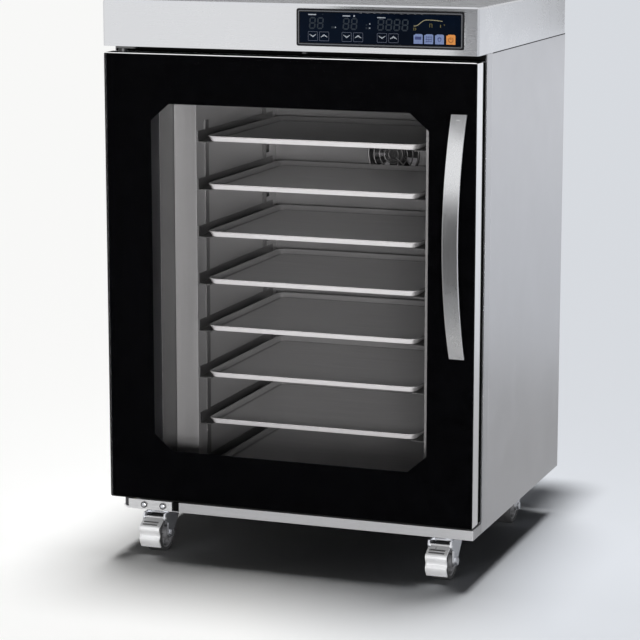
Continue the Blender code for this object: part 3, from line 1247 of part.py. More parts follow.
def make_pedal(name, x, y, rig):
    """A bent brake pedal ahead of the wheel, with its tail and pin between the fork's legs."""
    pivot = pedal_pivot(y)
    run = [(pivot[0] - PEDAL_REACH * a, pivot[1] - PEDAL_DROP * b) for a, b in PEDAL_RUN_SHARES]
    outline = []
    back = []
    for index, point in enumerate(run):
        before = run[max(index - 1, 0)]
        after = run[min(index + 1, len(run) - 1)]
        forward = Vector((after[0] - before[0], after[1] - before[1])).normalized()
        normal = Vector((forward.y, -forward.x)) * PEDAL_SHEET / 2
        outline.append((point[0] + normal.x, point[1] + normal.y))
        back.append((point[0] - normal.x, point[1] - normal.y))
    outline += reversed(back)
    plate = prism_shape(outline, "X", *span(x, PEDAL_WIDTH))
    shoulder = pivot[0] - PEDAL_EYE_RADIUS - PEDAL_SHEET / 2
    tools = []
    for side in (-1, 1):
        tools.append(box_shape(sorted((x + side * PEDAL_TAIL / 2, x + side * PEDAL_WIDTH)),
                               (shoulder, pivot[0] + PEDAL_DROP), (pivot[1] - PEDAL_DROP, CASTER_HEIGHT)))
    plate = cut(plate, *tools)
    pin_half = FORK_GAP / 2 + FORK_SHEET
    pin = rod_shape(pivot, PEDAL_PIN_RADIUS, "X", x - pin_half, x + pin_half, SMALL_SIDES)
    make_node("brake_pedal_" + name, [unite(plate, pin)], "chrome", rig, smooth=True)


def pedal_pivot(y):
    """Where the pedal turns: clear of the tyre, ahead of the axle and above it."""
    distance = WHEEL_RADIUS + PEDAL_TYRE_GAP
    angle = math.radians(PEDAL_PIVOT_DEG)
    return (y - CASTER_TRAIL - distance * math.sin(angle), WHEEL_RADIUS + distance * math.cos(angle))


def make_casters():
    for name, (x, y) in CASTER_PLACES.items():
        make_caster_plate(name, x, y)
        swivel = Rig("swivel_" + name, (x, y, RACE_BOTTOM))
        spin = Rig("spin_" + name, (x, y - CASTER_TRAIL, WHEEL_RADIUS), swivel)
        make_fork(name, x, y, swivel)
        make_wheel(name, x, y, spin)
        if name.startswith("front"):
            pivot = pedal_pivot(y)
            pedal = Rig("pedal_" + name, (x, pivot[0], pivot[1]), swivel)
            make_pedal(name, x, y, pedal)


def make_body():
    make_base_pan()
    make_side_panel("side_panel_left", -1)
    make_side_panel("side_panel_right", 1)
    make_rear_panel()
    make_front_frame()
    make_liner()
    make_insulation()
    make_header()
    for number in range(1, TRAY_COUNT + 1):
        make_tray(number)
    for name, side in (("left", -1), ("right", 1)):
        make_duct("side_duct_" + name, side)
        make_rack("tray_rack_" + name, side)


def make_services():
    make_fan_guard()
    make_fan_frame()
    make_impeller(Rig("fan_axis", (AIR_LINE_OFFSET, motor_front(), FAN_Z)))
    make_heater()
    make_steam_port()
    make_steam_tank()
    make_tank_heater()
    make_water_inlet()
    make_control_panel()
    make_door_switch()
    make_power_inlet()


def make_door():
    rig = Rig("door_pivot", (PIVOT_X, PIVOT_Y, DOOR_BOTTOM))
    make_lower_hinge()
    make_upper_hinge()
    make_hinge_bushes(rig)
    make_door_frame(rig)
    make_door_glass(rig)
    make_gasket(rig)
    make_handle(rig)
    make_handle_screws(rig)


clear_scene()
make_body()
make_services()
make_door()
make_casters()
bpy.context.view_layer.update()
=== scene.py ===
import math

import bmesh
import bpy
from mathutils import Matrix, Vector


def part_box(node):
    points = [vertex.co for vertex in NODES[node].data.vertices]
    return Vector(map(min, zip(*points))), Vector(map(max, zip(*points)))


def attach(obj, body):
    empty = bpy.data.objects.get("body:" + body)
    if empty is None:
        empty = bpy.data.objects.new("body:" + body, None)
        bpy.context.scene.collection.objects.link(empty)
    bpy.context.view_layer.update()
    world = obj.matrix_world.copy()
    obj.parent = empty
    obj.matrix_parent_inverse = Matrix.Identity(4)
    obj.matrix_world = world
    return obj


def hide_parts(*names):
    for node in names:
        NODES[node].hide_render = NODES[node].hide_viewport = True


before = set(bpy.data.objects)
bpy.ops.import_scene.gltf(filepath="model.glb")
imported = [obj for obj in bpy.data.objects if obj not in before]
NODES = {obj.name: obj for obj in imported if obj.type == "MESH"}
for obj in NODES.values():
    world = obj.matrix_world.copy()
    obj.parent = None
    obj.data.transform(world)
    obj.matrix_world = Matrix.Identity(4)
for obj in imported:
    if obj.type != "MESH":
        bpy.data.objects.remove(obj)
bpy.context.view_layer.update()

SHARP_ANGLE, BEVEL_ANGLE, FLAT_ANGLE = math.radians(32), math.radians(40), math.radians(0.5)
WELD_DISTANCE = 0.00001

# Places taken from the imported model
PANEL_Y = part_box("control_glass")[0].y
BEZEL_LOW, BEZEL_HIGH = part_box("control_bezel")
GASKET_LOW, GASKET_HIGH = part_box("door_gasket")
GUARD_LOW, GUARD_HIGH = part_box("fan_guard")
REAR_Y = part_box("rear_panel")[1].y
FRAME_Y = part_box("front_frame")[0].y
DUCT_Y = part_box("side_duct_left")[0].y
TRAY_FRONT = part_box("tray_1")[0].y
TRAY_SIDE, TRAY_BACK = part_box("tray_1")[1].x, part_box("tray_1")[1].y
DOOR_SIDE, DOOR_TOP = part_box("door_frame")[1].x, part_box("door_frame")[1].z
HEADER_LOW, HEADER_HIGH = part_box("header_cover")
SIDE_LOW, SIDE_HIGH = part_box("side_panel_right")
CASTERS = ("front_left", "front_right", "rear_left", "rear_right")

# Shares of a normal along an axis, between which one finish passes into another
LOOKS_DOWN = (-0.75, -0.65)
LOOKS_FORWARD = (-0.85, -0.75)
EDGE_ON = (0.80, 0.86)
GREY = ((0, (0, 0, 0)), (1, (1, 1, 1)))  # the even ramp from black to white


# Materials
def add_node(tree, kind, inputs=(), **settings):
    """A new node with its settings, and with its inputs linked or set."""
    node = tree.nodes.new(kind)
    for key, value in settings.items():
        setattr(node, key, value)
    for key, value in dict(inputs).items():
        if isinstance(value, bpy.types.NodeSocket):
            tree.links.new(value, node.inputs[key])
        else:
            node.inputs[key].default_value = value
    return node


class Shade:
    """A material being wired up, in the coordinates of the cabinet."""

    def __init__(self, name="finish"):
        self.material = bpy.data.materials.new(name)
        self.material.use_nodes = True
        self.tree = self.material.node_tree
        self.tree.nodes.clear()
        self.output = self.tree.nodes.new("ShaderNodeOutputMaterial")
        self.place = self.tree.nodes.new("ShaderNodeTexCoord").outputs["Object"]

    def node(self, kind, inputs=(), **settings):
        return add_node(self.tree, kind, inputs, **settings)

    def stretched(self, stretch):
        return self.node("ShaderNodeMapping", {"Vector": self.place, "Scale": stretch}).outputs["Vector"]

    def noise(self, scale, detail=3.0, roughness=0.55, stretch=None):
        where = self.stretched(stretch) if stretch else self.place
        return self.node("ShaderNodeTexNoise", {"Vector": where, "Scale": scale, "Detail": detail,
                                                "Roughness": roughness}).outputs["Fac"]

    def ramp(self, value, stops):
        node = self.node("ShaderNodeValToRGB", {"Fac": value})
        elements = node.color_ramp.elements
        while len(elements) < len(stops):
            elements.new(0.5)
        for element, (position, colour) in zip(elements, stops):
            element.position = position
            element.color = (*colour, 1)
        return node.outputs["Color"]

    def spread(self, value, low, high, start=0.3, end=0.7):
        return self.node("ShaderNodeMapRange", {"Value": value, "From Min": start, "From Max": end,
                                                "To Min": low, "To Max": high}).outputs["Result"]

    def mix(self, share, first, second):
        first, second = [colour if isinstance(colour, bpy.types.NodeSocket) else (*colour, 1)
                         for colour in (first, second)]
        return self.node("ShaderNodeMix", {0: share, 6: first, 7: second}, data_type="RGBA").outputs[2]

    def bump(self, height, strength, distance=0.0002):
        return self.node("ShaderNodeBump", {"Height": height, "Strength": strength,
                                            "Distance": distance}).outputs["Normal"]

    def part(self, axis, vector=None):
        """One coordinate of a vector, or of the point's own place."""
        vector = self.place if vector is None else vector
        return self.node("ShaderNodeSeparateXYZ", {"Vector": vector}).outputs[axis]

    def normal(self):
        return self.node("ShaderNodeNewGeometry").outputs["Normal"]

    def combined(self, operation, *values):
        return self.node("ShaderNodeMath", dict(enumerate(values)), operation=operation).outputs[0]

    def distance_out(self):
        """How far a point is from the middle plane, to either side."""
        return self.combined("ABSOLUTE", self.part("X"))

    def surface(self, **inputs):
        named = {key.replace("_", " "): value for key, value in inputs.items()}
        shader = self.node("ShaderNodeBsdfPrincipled", named)
        return self.finish(shader.outputs["BSDF"])

    def finish(self, socket):
        self.tree.links.new(socket, self.output.inputs["Surface"])
        return self.material


def tinted(colour, share):
    return tuple(channel * share for channel in colour)


def brushed(colour, roughness, stretch, tone=0.06, groove=0.12, metallic=1.0, painted_light_inside=None, before=None):
    """Sheet metal with a fine grain along one axis and faint clouds of handling.

    Its tone can change where it lies nearer the middle plane than a reach, given as (reach, share): painted
    light, which makes the header's front and top lighter than its rounded ends and sides.
    With before, as (depth, share), its tone changes in front of that depth: painted shade, which darkens the
    liner's front strip by the door.
    """
    shade = Shade()
    grain = shade.noise(1.0, 4.0, 0.65, stretch)
    cloud = shade.noise(3.5, 3.0)
    wear = shade.noise(17.0, 5.0)
    base = shade.ramp(grain, [(0.30, tinted(colour, 1 - tone)), (0.70, tinted(colour, 1 + tone))])
    base = shade.mix(shade.spread(cloud, 0, 0.35), base, tinted(colour, 0.90))
    # painted light: a lighter tone nearer the middle plane than reach
    if painted_light_inside:
        reach, share = painted_light_inside
        near = shade.spread(shade.distance_out(), 1, 0, reach, reach + 0.004)
        base = shade.mix(near, base, tinted(colour, share))
    if before:
        depth, share = before
        # painted shade: a darker tone in front of depth
        painted_shade_ahead = shade.spread(shade.part("Y"), 1, 0, depth - 0.001, depth)
        base = shade.mix(painted_shade_ahead, base, tinted(colour, share))
    uneven = shade.mix(0.5, shade.ramp(grain, GREY), shade.ramp(wear, GREY))
    return shade.surface(Base_Color=base, Metallic=metallic, Normal=shade.bump(grain, groove),
                         Roughness=shade.spread(uneven, roughness - 0.05, roughness + 0.06))


def underside_primed(colour, roughness, stretch, metallic):
    """Brushed sheet whose faces that look down are made dull and dark as painted shade."""
    shade = Shade()
    grain = shade.noise(1.0, 4.0, 0.65, stretch)
    cloud = shade.noise(3.5, 3.0)
    base = shade.ramp(grain, [(0.30, tinted(colour, 0.97)), (0.70, tinted(colour, 1.03))])
    base = shade.mix(shade.spread(cloud, 0, 0.3), base, tinted(colour, 0.92))
    level = shade.part("Z", shade.normal())
    # painted shade on the faces that look down
    painted_underside_shade = shade.mix(cloud, (0.012, 0.012, 0.013), (0.030, 0.030, 0.032))
    return shade.surface(Base_Color=shade.mix(shade.spread(level, 1, 0, *LOOKS_DOWN), base, painted_underside_shade),
                         Metallic=shade.spread(level, 0, metallic, *LOOKS_DOWN),
                         Roughness=shade.spread(level, 0.85, roughness, *LOOKS_DOWN),
                         Normal=shade.bump(grain, 0.06))


def door_extrusion(colour, roughness):
    """Aluminium that is bright on its outer sides and back, and black where it frames the glass, on its
    front and on its top; the bright upper lip of its front is a painted highlight, and the black of its top
    is painted shade.
    """
    shade = Shade()
    grain = shade.noise(1.0, 4.0, 0.6, (300, 300, 7))
    cloud = shade.noise(12.0, 3.0)
    metal = shade.ramp(grain, [(0.30, tinted(colour, 0.97)), (0.70, tinted(colour, 1.03))])
    black = shade.mix(cloud, (0.006, 0.006, 0.006), (0.012, 0.012, 0.012))
    normal = shade.normal()
    backward = shade.part("Y", normal)
    rim = shade.spread(shade.distance_out(), 0, 1, DOOR_SIDE - 0.006, DOOR_SIDE - 0.004)
    outer = shade.combined("MULTIPLY", shade.combined("ABSOLUTE", shade.part("X", normal)), rim)
    # painted highlight: a thin bright lip along the top of the front
    upper = shade.spread(shade.part("Z"), 0, 1, DOOR_TOP - 0.0015, DOOR_TOP - 0.0012)
    painted_highlight_lip = shade.combined("MULTIPLY", upper, shade.spread(backward, 1, 0, *LOOKS_FORWARD))
    # faces that look up stay black, as painted shade
    facing = shade.combined("MAXIMUM", shade.combined("MAXIMUM", outer, backward), painted_highlight_lip)
    bare = shade.spread(facing, 0, 1, *EDGE_ON)
    return shade.surface(Base_Color=shade.mix(bare, black, metal), Metallic=bare,
                         Roughness=shade.spread(facing, 0.55, roughness, *EDGE_ON),
                         Specular_IOR_Level=shade.spread(facing, 0, 0.5, *EDGE_ON),
                         Normal=shade.bump(grain, 0.04))


def pressed(colour, highlight_colour, roughness):
    """Pressed tray metal, with a painted highlight along the front rim and painted shade round the other
    rims.
    """
    shade = Shade()
    drawn = shade.noise(1.0, 3.0, 0.6, (9, 150, 150))
    stain = shade.noise(22.0, 5.0, 0.6)
    highlight_mottle = shade.noise(120.0, 3.0)
    depth = shade.part("Y")
    front = shade.spread(depth, 1, 0, TRAY_FRONT + 0.0035, TRAY_FRONT + 0.0060)
    body = shade.ramp(drawn, [(0.30, tinted(colour, 0.93)), (0.70, tinted(colour, 1.07))])
    body = shade.mix(shade.spread(stain, 0, 0.15), body, tinted(colour, 0.88))
    # painted shade: the side and back rims are darkened
    beside = shade.spread(shade.distance_out(), 0, 1, TRAY_SIDE - 0.014, TRAY_SIDE - 0.008)
    behind = shade.spread(depth, 0, 1, TRAY_BACK - 0.014, TRAY_BACK - 0.008)
    body = shade.mix(shade.combined("MAXIMUM", beside, behind), body, tinted(colour, 0.35))
    # painted highlight: the front rim in a colour of its own
    rim = shade.mix(shade.spread(highlight_mottle, 0, 1), tinted(highlight_colour, 0.93), highlight_colour)
    rough = shade.spread(stain, roughness - 0.02, roughness + 0.03)
    return shade.surface(Base_Color=shade.mix(front, body, rim), Roughness=rough,
                         Normal=shade.bump(drawn, 0.03))


def moulded(colour, roughness, grain=900.0, bump=0.15, specular=0.5):
    """Plastic or rubber with a fine moulded grain and uneven sheen."""
    shade = Shade()
    fine = shade.noise(grain, 2.0)
    cloud = shade.noise(25.0, 4.0)
    base = shade.mix(shade.spread(cloud, 0, 1), tinted(colour, 0.8), tinted(colour, 1.3))
    rough = shade.spread(cloud, roughness - 0.06, roughness + 0.08)
    return shade.surface(Base_Color=base, Roughness=rough, Specular_IOR_Level=specular,
                         Normal=shade.bump(fine, bump))


def plated(colour, roughness, tone=0.12, scale=60.0, metallic=1.0):
    """Plated or cast metal with a mottled surface."""
    shade = Shade()
    mottle = shade.noise(scale, 5.0, 0.6)
    fine = shade.noise(700.0, 2.0)
    base = shade.ramp(mottle, [(0.3, tinted(colour, 1 - tone)), (0.7, tinted(colour, 1 + tone / 2))])
    rough = shade.spread(mottle, roughness - 0.06, roughness + 0.10)
    return shade.surface(Base_Color=base, Metallic=metallic, Roughness=rough,
                         Normal=shade.bump(fine, 0.08, 0.0001))


def pane(tint, ior, smear):
    """Clear sheet glass: it mirrors a little, more at a slant, and lets the rest through."""
    shade = Shade()
    film = shade.noise(9.0, 4.0, 0.6, (1, 1, 1.8))
    through = shade.node("ShaderNodeBsdfTransparent", {"Color": (*tint, 1)})
    mirror = shade.node("ShaderNodeBsdfGlossy", {"Color": (1, 1, 1, 1),
                                                 "Roughness": shade.spread(film, 0.0, smear)})
    share = shade.node("ShaderNodeFresnel", {"IOR": ior}).outputs["Fac"]
    mixed = shade.node("ShaderNodeMixShader", {0: share, 1: through.outputs[0], 2: mirror.outputs[0]})
    return shade.finish(mixed.outputs[0])


def display_front():
    """The dark smoked front of the control panel."""
    shade = Shade()
    cloud = shade.noise(14.0, 3.0)
    speck = shade.noise(500.0, 2.0)
    base = shade.ramp(cloud, [(0.3, (0.0011, 0.0022, 0.0052)), (0.7, (0.0019, 0.0042, 0.0100))])
    return shade.surface(Base_Color=base, Roughness=shade.spread(cloud, 0.10, 0.20), IOR=1.09,
                         Normal=shade.bump(speck, 0.02, 0.0001))


def printed(colour, painted_glow=0.0):
    """Ink on the display front, a little uneven; a mark given a glow also glows, as painted light."""
    shade = Shade()
    patch = shade.noise(900.0, 2.0)
    base = shade.mix(shade.spread(patch, 0, 1), tinted(colour, 0.82), tinted(colour, 1.12))
    inputs = {"Base_Color": base, "Roughness": shade.spread(patch, 0.35, 0.5), "IOR": 1.22}
    if painted_glow:
        inputs["Emission_Color"] = base
        inputs["Emission_Strength"] = painted_glow
    return shade.surface(**inputs)


def wool():
    """Mineral wool, yellow and fibrous."""
    shade = Shade()
    fibre = shade.noise(260.0, 5.0, 0.7, (1, 1, 4))
    base = shade.ramp(fibre, [(0.3, (0.42, 0.34, 0.17)), (0.7, (0.80, 0.73, 0.50))])
    return shade.surface(Base_Color=base, Roughness=shade.spread(fibre, 0.8, 1.0),
                         Normal=shade.bump(fibre, 0.7, 0.002))


def circuit():
    """A green board with the net of its copper tracks."""
    shade = Shade()
    cells = shade.node("ShaderNodeTexVoronoi", {"Vector": shade.place, "Scale": 260.0},
                       feature="DISTANCE_TO_EDGE").outputs["Distance"]
    base = shade.ramp(cells, [(0.02, (0.10, 0.36, 0.14)), (0.06, (0.012, 0.12, 0.05))])
    return shade.surface(Base_Color=base, Roughness=shade.spread(cells, 0.25, 0.4, 0, 0.1),
                         Normal=shade.bump(cells, 0.2))


def enamel():
    """The black printed border behind the door's glass."""
    shade = Shade()
    cloud = shade.noise(40.0, 3.0)
    base = shade.mix(shade.spread(cloud, 0, 1), (0.0008, 0.0008, 0.0010), (0.0018, 0.0018, 0.0022))
    return shade.surface(Base_Color=base, Roughness=shade.spread(cloud, 0.5, 0.6), IOR=1.03)


MATERIALS = {
    # the header's front and top get painted light, a lighter tone than its rounded ends and sides
    "header_steel": brushed((0.65, 0.655, 0.675), 0.28, (5, 420, 420), tone=0.015, groove=0.05,
                            painted_light_inside=(0.2955, 1.14)),
    "side_steel": brushed((0.60, 0.60, 0.62), 0.40, (420, 420, 5), tone=0.02, groove=0.05),
    # the base pan's faces that look down get painted shade
    "base_steel": underside_primed((0.44, 0.44, 0.45), 0.40, (7, 500, 500), 0.85),
    # steel darkened as painted shade, for the header's underside and the upper hinge plate over the door
    "shaded_deck_steel": brushed((0.16, 0.16, 0.16), 0.45, (7, 500, 500)),
    # the liner's strip in front of the ducts gets painted shade
    "liner_steel": brushed((0.25, 0.25, 0.25), 0.40, (300, 300, 8), groove=0.06, metallic=0.8,
                           before=(DUCT_Y, 0.30)),
    "duct_steel": brushed((0.33, 0.33, 0.33), 0.42, (400, 400, 7), metallic=0.5),
    # rack steel darkened as painted shade, keeping lamp glints off its front edges
    "shaded_rack_steel": brushed((0.15, 0.15, 0.15), 0.40, (8, 300, 300), metallic=0.8),
    "hinge_steel": brushed((0.70, 0.70, 0.71), 0.38, (20, 500, 500)),
    "handle_steel": brushed((0.79, 0.79, 0.80), 0.29, (900, 900, 12), tone=0.03, groove=0.02),
    # the trays' front rims get a painted highlight and their other rims painted shade
    "tray_steel": pressed((0.80, 0.80, 0.80), (0.81, 0.81, 0.81), 0.42),
    # the door frame's top is painted shade and the upper lip of its front a painted highlight
    "door_aluminium": door_extrusion((0.88, 0.88, 0.89), 0.36),
    "zinc": plated((0.62, 0.63, 0.66), 0.36, 0.06, 30.0),
    "guard_wire": plated((0.17, 0.17, 0.17), 0.45),
    "heater_steel": plated((0.42, 0.41, 0.40), 0.40),
    "pedal_chrome": plated((0.80, 0.80, 0.81), 0.30, 0.03, 25.0, 0.45),
    "brass": plated((0.78, 0.58, 0.26), 0.30),
    "black_plastic": moulded((0.012, 0.012, 0.013), 0.46),
    "bezel_plastic": moulded((0.003, 0.003, 0.004), 0.42, bump=0.05, specular=0.15),
    "fan_plastic": moulded((0.030, 0.030, 0.031), 0.50),
    "hub_plastic": moulded((0.10, 0.10, 0.105), 0.50),
    "seal_rubber": moulded((0.016, 0.016, 0.017), 0.62, 600.0, 0.3),
    "trim_rubber": moulded((0.004, 0.004, 0.004), 0.66, 600.0, 0.2, 0.0),
    "tyre_rubber": moulded((0.020, 0.020, 0.021), 0.66, 500.0, 0.4),
    "door_glass": pane((0.963, 0.960, 0.961), 1.035, 0.02),
    "inner_glass": pane((0.963, 0.960, 0.961), 1.10, 0.02),
    "panel_front": display_front(),
    "panel_line": printed((0.085, 0.088, 0.095)),
    "ghost_ink": printed((0.012, 0.017, 0.024)),
    "pale_ink": printed((0.26, 0.28, 0.31)),
    "outline_ink": printed((0.075, 0.085, 0.115)),
    "cream_ink": printed((0.20, 0.18, 0.11)),
    "ochre_ink": printed((0.10, 0.085, 0.03)),
    # the lilac keys glow faintly as painted light
    "lilac_key": printed((0.115, 0.15, 0.27), 0.03),
    "key_icon": printed((0.03, 0.04, 0.11)),
    # the orange key glows faintly as painted light
    "orange_key": printed((0.42, 0.165, 0.04), 0.04),
    "light_icon": printed((0.16, 0.055, 0.012)),
    "mineral_wool": wool(),
    "circuit_board": circuit(),
    "black_border": enamel(),
}
for name, material in MATERIALS.items():
    material.name = name


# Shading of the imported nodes
def soft_shading():
    """A node group that joins split corners and keeps only real edges sharp."""
    tree = bpy.data.node_groups.new("soft_shading", "GeometryNodeTree")
    for way in ("INPUT", "OUTPUT"):
        tree.interface.new_socket("Geometry", in_out=way, socket_type="NodeSocketGeometry")
    angle = add_node(tree, "GeometryNodeInputMeshEdgeAngle").outputs["Unsigned Angle"]
    sharp = add_node(tree, "FunctionNodeCompare", {0: angle, 1: SHARP_ANGLE}, data_type="FLOAT",
                     operation="GREATER_THAN").outputs[0]
    chain = [add_node(tree, "NodeGroupInput"),
             add_node(tree, "GeometryNodeRemoveAttribute", {"Name": "custom_normal"}),
             add_node(tree, "GeometryNodeMergeByDistance", {"Distance": WELD_DISTANCE}),
             add_node(tree, "GeometryNodeSetShadeSmooth", domain="FACE"),
             add_node(tree, "GeometryNodeSetShadeSmooth", {"Selection": sharp, "Shade Smooth": False},
                      domain="EDGE"),
             add_node(tree, "NodeGroupOutput")]
    for before, after in zip(chain, chain[1:]):
        tree.links.new(before.outputs[0], after.inputs[0])
    return tree


SOFT_SHADING = soft_shading()


def smooth_shaded(target, bevel):
    """Rounds an object's edges where a bevel is asked for, and shades it smooth between its real edges."""
    if bevel:
        weld = target.modifiers.new("weld", "WELD")
        weld.merge_threshold = WELD_DISTANCE
        flat = target.modifiers.new("flat", "DECIMATE")
        flat.decimate_type = "DISSOLVE"
        flat.angle_limit = FLAT_ANGLE
        edge = target.modifiers.new("edge", "BEVEL")
        edge.width = bevel
        edge.segments = 2
        edge.limit_method = "ANGLE"
        edge.angle_limit = BEVEL_ANGLE
    soft = target.modifiers.new("soft", "NODES")
    soft.node_group = SOFT_SHADING
    if bevel:
        even = target.modifiers.new("even", "WEIGHTED_NORMAL")
        even.keep_sharp = True


def dress(names, material, bevel=0.0):
    for name in names:
        NODES[name].data.materials.clear()
        NODES[name].data.materials.append(MATERIALS[material])
        smooth_shaded(NODES[name], bevel)


def each(stem, ends):
    return [stem + "_" + str(end) for end in ends]


dress(["header_cover"], "header_steel", 0.00025)
# painted shade: the header's underside is darkened
dress(["header_floor"], "shaded_deck_steel")
dress(["side_panel_left", "side_panel_right", "rear_panel"], "side_steel")
dress(["front_frame"], "side_steel", 0.0003)
dress(["base_pan"], "base_steel", 0.0004)
dress(["cavity_liner"], "liner_steel")
dress(["side_duct_left", "side_duct_right"], "duct_steel", 0.0004)
# painted shade: the racks are in darkened steel
dress(["tray_rack_left", "tray_rack_right"], "shaded_rack_steel")
dress(each("tray", range(1, 9)), "tray_steel")
dress(["steam_tank"], "liner_steel", 0.0004)
dress(["hinge_plate_lower"], "hinge_steel", 0.0003)
# painted shade: the upper hinge plate is darker than the lower one's steel
dress(["hinge_plate_upper"], "shaded_deck_steel", 0.0003)
dress(["door_handle"], "handle_steel", 0.0004)
dress(["insulation"], "mineral_wool")
dress(["air_heater", "tank_heater"], "heater_steel")
dress(["handle_screw_upper", "handle_screw_lower"], "zinc")
dress(each("caster_plate", CASTERS) + each("caster_fork", CASTERS), "zinc", 0.0003)
dress(["brake_pedal_front_left", "brake_pedal_front_right"], "pedal_chrome", 0.0004)
dress(["fan_frame", "fan_impeller"], "fan_plastic")
dress(["control_bezel"], "bezel_plastic", 0.0003)
dress(["door_switch", "power_inlet"], "black_plastic", 0.0002)
dress(["hinge_bush_lower", "hinge_bush_upper"], "black_plastic")
dress(["steam_port"], "seal_rubber")
dress(["water_inlet"], "brass")
dress(["control_glass"], "panel_front")
dress(["display_board"], "circuit_board")
dress(["door_frame"], "door_aluminium", 0.0003)
dress(["door_glass_outer"], "door_glass")
dress(["door_glass_inner"], "inner_glass")
dress(["door_border"], "black_border")


# Shapes
def on_axis(axis, across, up, along):
    """A point by its place in the plane square to an axis, and its place along the axis."""
    if axis == "X":
        return Vector((along, across, up))
    if axis == "Y":
        return Vector((across, along, up))
    return Vector((across, up, along))


def loft(loops, closed=False):
    """A skin over loops of equally many points; its ends are capped, or joined when it is closed."""
    shape = bmesh.new()
    rings = [[shape.verts.new(point) for point in loop] for loop in loops]
    count = len(rings[0])
    pairs = list(zip(rings, rings[1:]))
    if closed:
        pairs.append((rings[-1], rings[0]))
    for low, high in pairs:
        for index in range(count):
            after = (index + 1) % count
            shape.faces.new((low[index], low[after], high[after], high[index]))
    if not closed:
        shape.faces.new(rings[0])
        shape.faces.new(rings[-1])
    bmesh.ops.recalc_face_normals(shape, faces=shape.faces)
    return shape


def prism(outline, axis, start, end):
    return loft([[on_axis(axis, a, b, along) for a, b in outline] for along in (start, end)])


def circle(centre, radius, sides, turn=0.0):
    return [(centre[0] + radius * math.cos(turn + 2 * math.pi * index / sides),
             centre[1] + radius * math.sin(turn + 2 * math.pi * index / sides)) for index in range(sides)]


def rounded(x_range, y_range, radius, steps=4):
    """The outline of a rectangle with rounded corners."""
    points = []
    corners = ((x_range[1] - radius, y_range[1] - radius, 0), (x_range[0] + radius, y_range[1] - radius, 1),
               (x_range[0] + radius, y_range[0] + radius, 2), (x_range[1] - radius, y_range[0] + radius, 3))
    for x, y, quarter in corners:
        for step in range(steps + 1):
            angle = (quarter + step / steps) * math.pi / 2
            points.append((x + radius * math.cos(angle), y + radius * math.sin(angle)))
    return points


def turned(profile, axis, centre, sides, closed=True):
    """A profile of (radius, along) points turned about an axis; an open one is capped at its ends."""
    return loft([[on_axis(axis, a, b, along) for a, b in circle(centre, radius, sides)]
                 for radius, along in profile], closed)


TURNS = [math.pi * eighth / 4 for eighth in range(8)]  # round a wire


def wire(path, radius, closed=False):
    """A round bar along a path."""
    path = [Vector(point) for point in path]
    count = len(path)
    loops = []
    side = None
    for index, point in enumerate(path):
        before = path[index - 1] if closed or index else point
        after = path[(index + 1) % count] if closed or index < count - 1 else point
        along = (after - before).normalized()
        side = along.orthogonal() if side is None else side - along * side.dot(along)
        side.normalize()
        over = along.cross(side)
        loops.append([point + radius * (math.cos(turn) * side + math.sin(turn) * over) for turn in TURNS])
    return loft(loops, closed)


def stroke(points, width, y_range):
    """A flat line of even width through points on the front, as a thin raised mark."""
    left = []
    right = []
    for index, (x, z) in enumerate(points):
        before = points[max(index - 1, 0)]
        after = points[min(index + 1, len(points) - 1)]
        run = Vector((after[0] - before[0], after[1] - before[1])).normalized() * width / 2
        left.append((x - run.y, z + run.x))
        right.append((x + run.y, z - run.x))
    return prism(left + right[::-1], "Y", *y_range)


def framed(outer, inner, axis, start, end):
    """A frame between two outlines."""
    return loft([[on_axis(axis, a, b, along) for a, b in outline]
                 for outline, along in ((outer, start), (outer, end), (inner, end), (inner, start))], True)


def piece(name, shapes, material, body, replaces=(), bevel=0.0):
    """One named object out of several shapes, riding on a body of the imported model."""
    whole = bmesh.new()
    for shape in shapes:
        mesh = bpy.data.meshes.new(name)
        shape.to_mesh(mesh)
        shape.free()
        whole.from_mesh(mesh)
        bpy.data.meshes.remove(mesh)
    mesh = bpy.data.meshes.new(name)
    whole.to_mesh(mesh)
    whole.free()
    made = bpy.data.objects.new(name, mesh)
    bpy.context.scene.collection.objects.link(made)
    mesh.materials.append(MATERIALS[material])
    smooth_shaded(made, bevel)
    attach(made, body)
    if replaces:
        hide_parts(*replaces)


# Marks on the control panel, by their places across and up
INK = (PANEL_Y - 0.00006, PANEL_Y + 0.00002)
KEY_INK = (PANEL_Y - 0.00012, PANEL_Y + 0.00002)
ICON_INK = (PANEL_Y - 0.00018, PANEL_Y - 0.00010)
PANEL_LINE = ((0.0026, 0.0024), (0.0040, 0.0014))  # outer and inner outline: inset, corner radius
PANEL_LINE_Y = (BEZEL_LOW.y - 0.0001, BEZEL_LOW.y + 0.0001)

READOUTS = ((0.0385, 2), (0.0915, 2), (0.1455, 4))  # left edge, number of digits
DIGIT_PITCH, DIGIT_FOOT, DIGIT_LEAN = 0.0125, 0.8440, 0.08
DIGIT_WIDTH, DIGIT_HEIGHT, DIGIT_BAR = 0.0080, 0.0155, 0.0022
DIGIT_BARS = ((0, 2, 1, 2), (1, 2, 1, 1), (1, 1, 1, 0), (0, 0, 1, 0), (0, 1, 0, 0), (0, 2, 0, 1),
              (0, 1, 1, 1))

LABELS = (((0.0365, 0.0490), (0.8635, 0.8650)), ((0.0905, 0.1025), (0.8625, 0.8640)),
          ((0.1075, 0.1098), (0.8622, 0.8645)), ((0.1445, 0.1575), (0.8612, 0.8625)))
UNITS = (((0.0730, 0.0752), (0.8445, 0.8475)), ((0.0760, 0.0782), (0.8445, 0.8475)),
         ((0.1268, 0.1292), (0.8500, 0.8514)), ((0.1300, 0.1328), (0.8445, 0.8475)),
         ((0.1268, 0.1285), (0.8445, 0.8475)), ((0.0585, 0.0600), (0.8642, 0.8654)))
CORNER_MARK = ((0.2005, 0.8475), (0.2005, 0.8525), (0.2045, 0.8525))

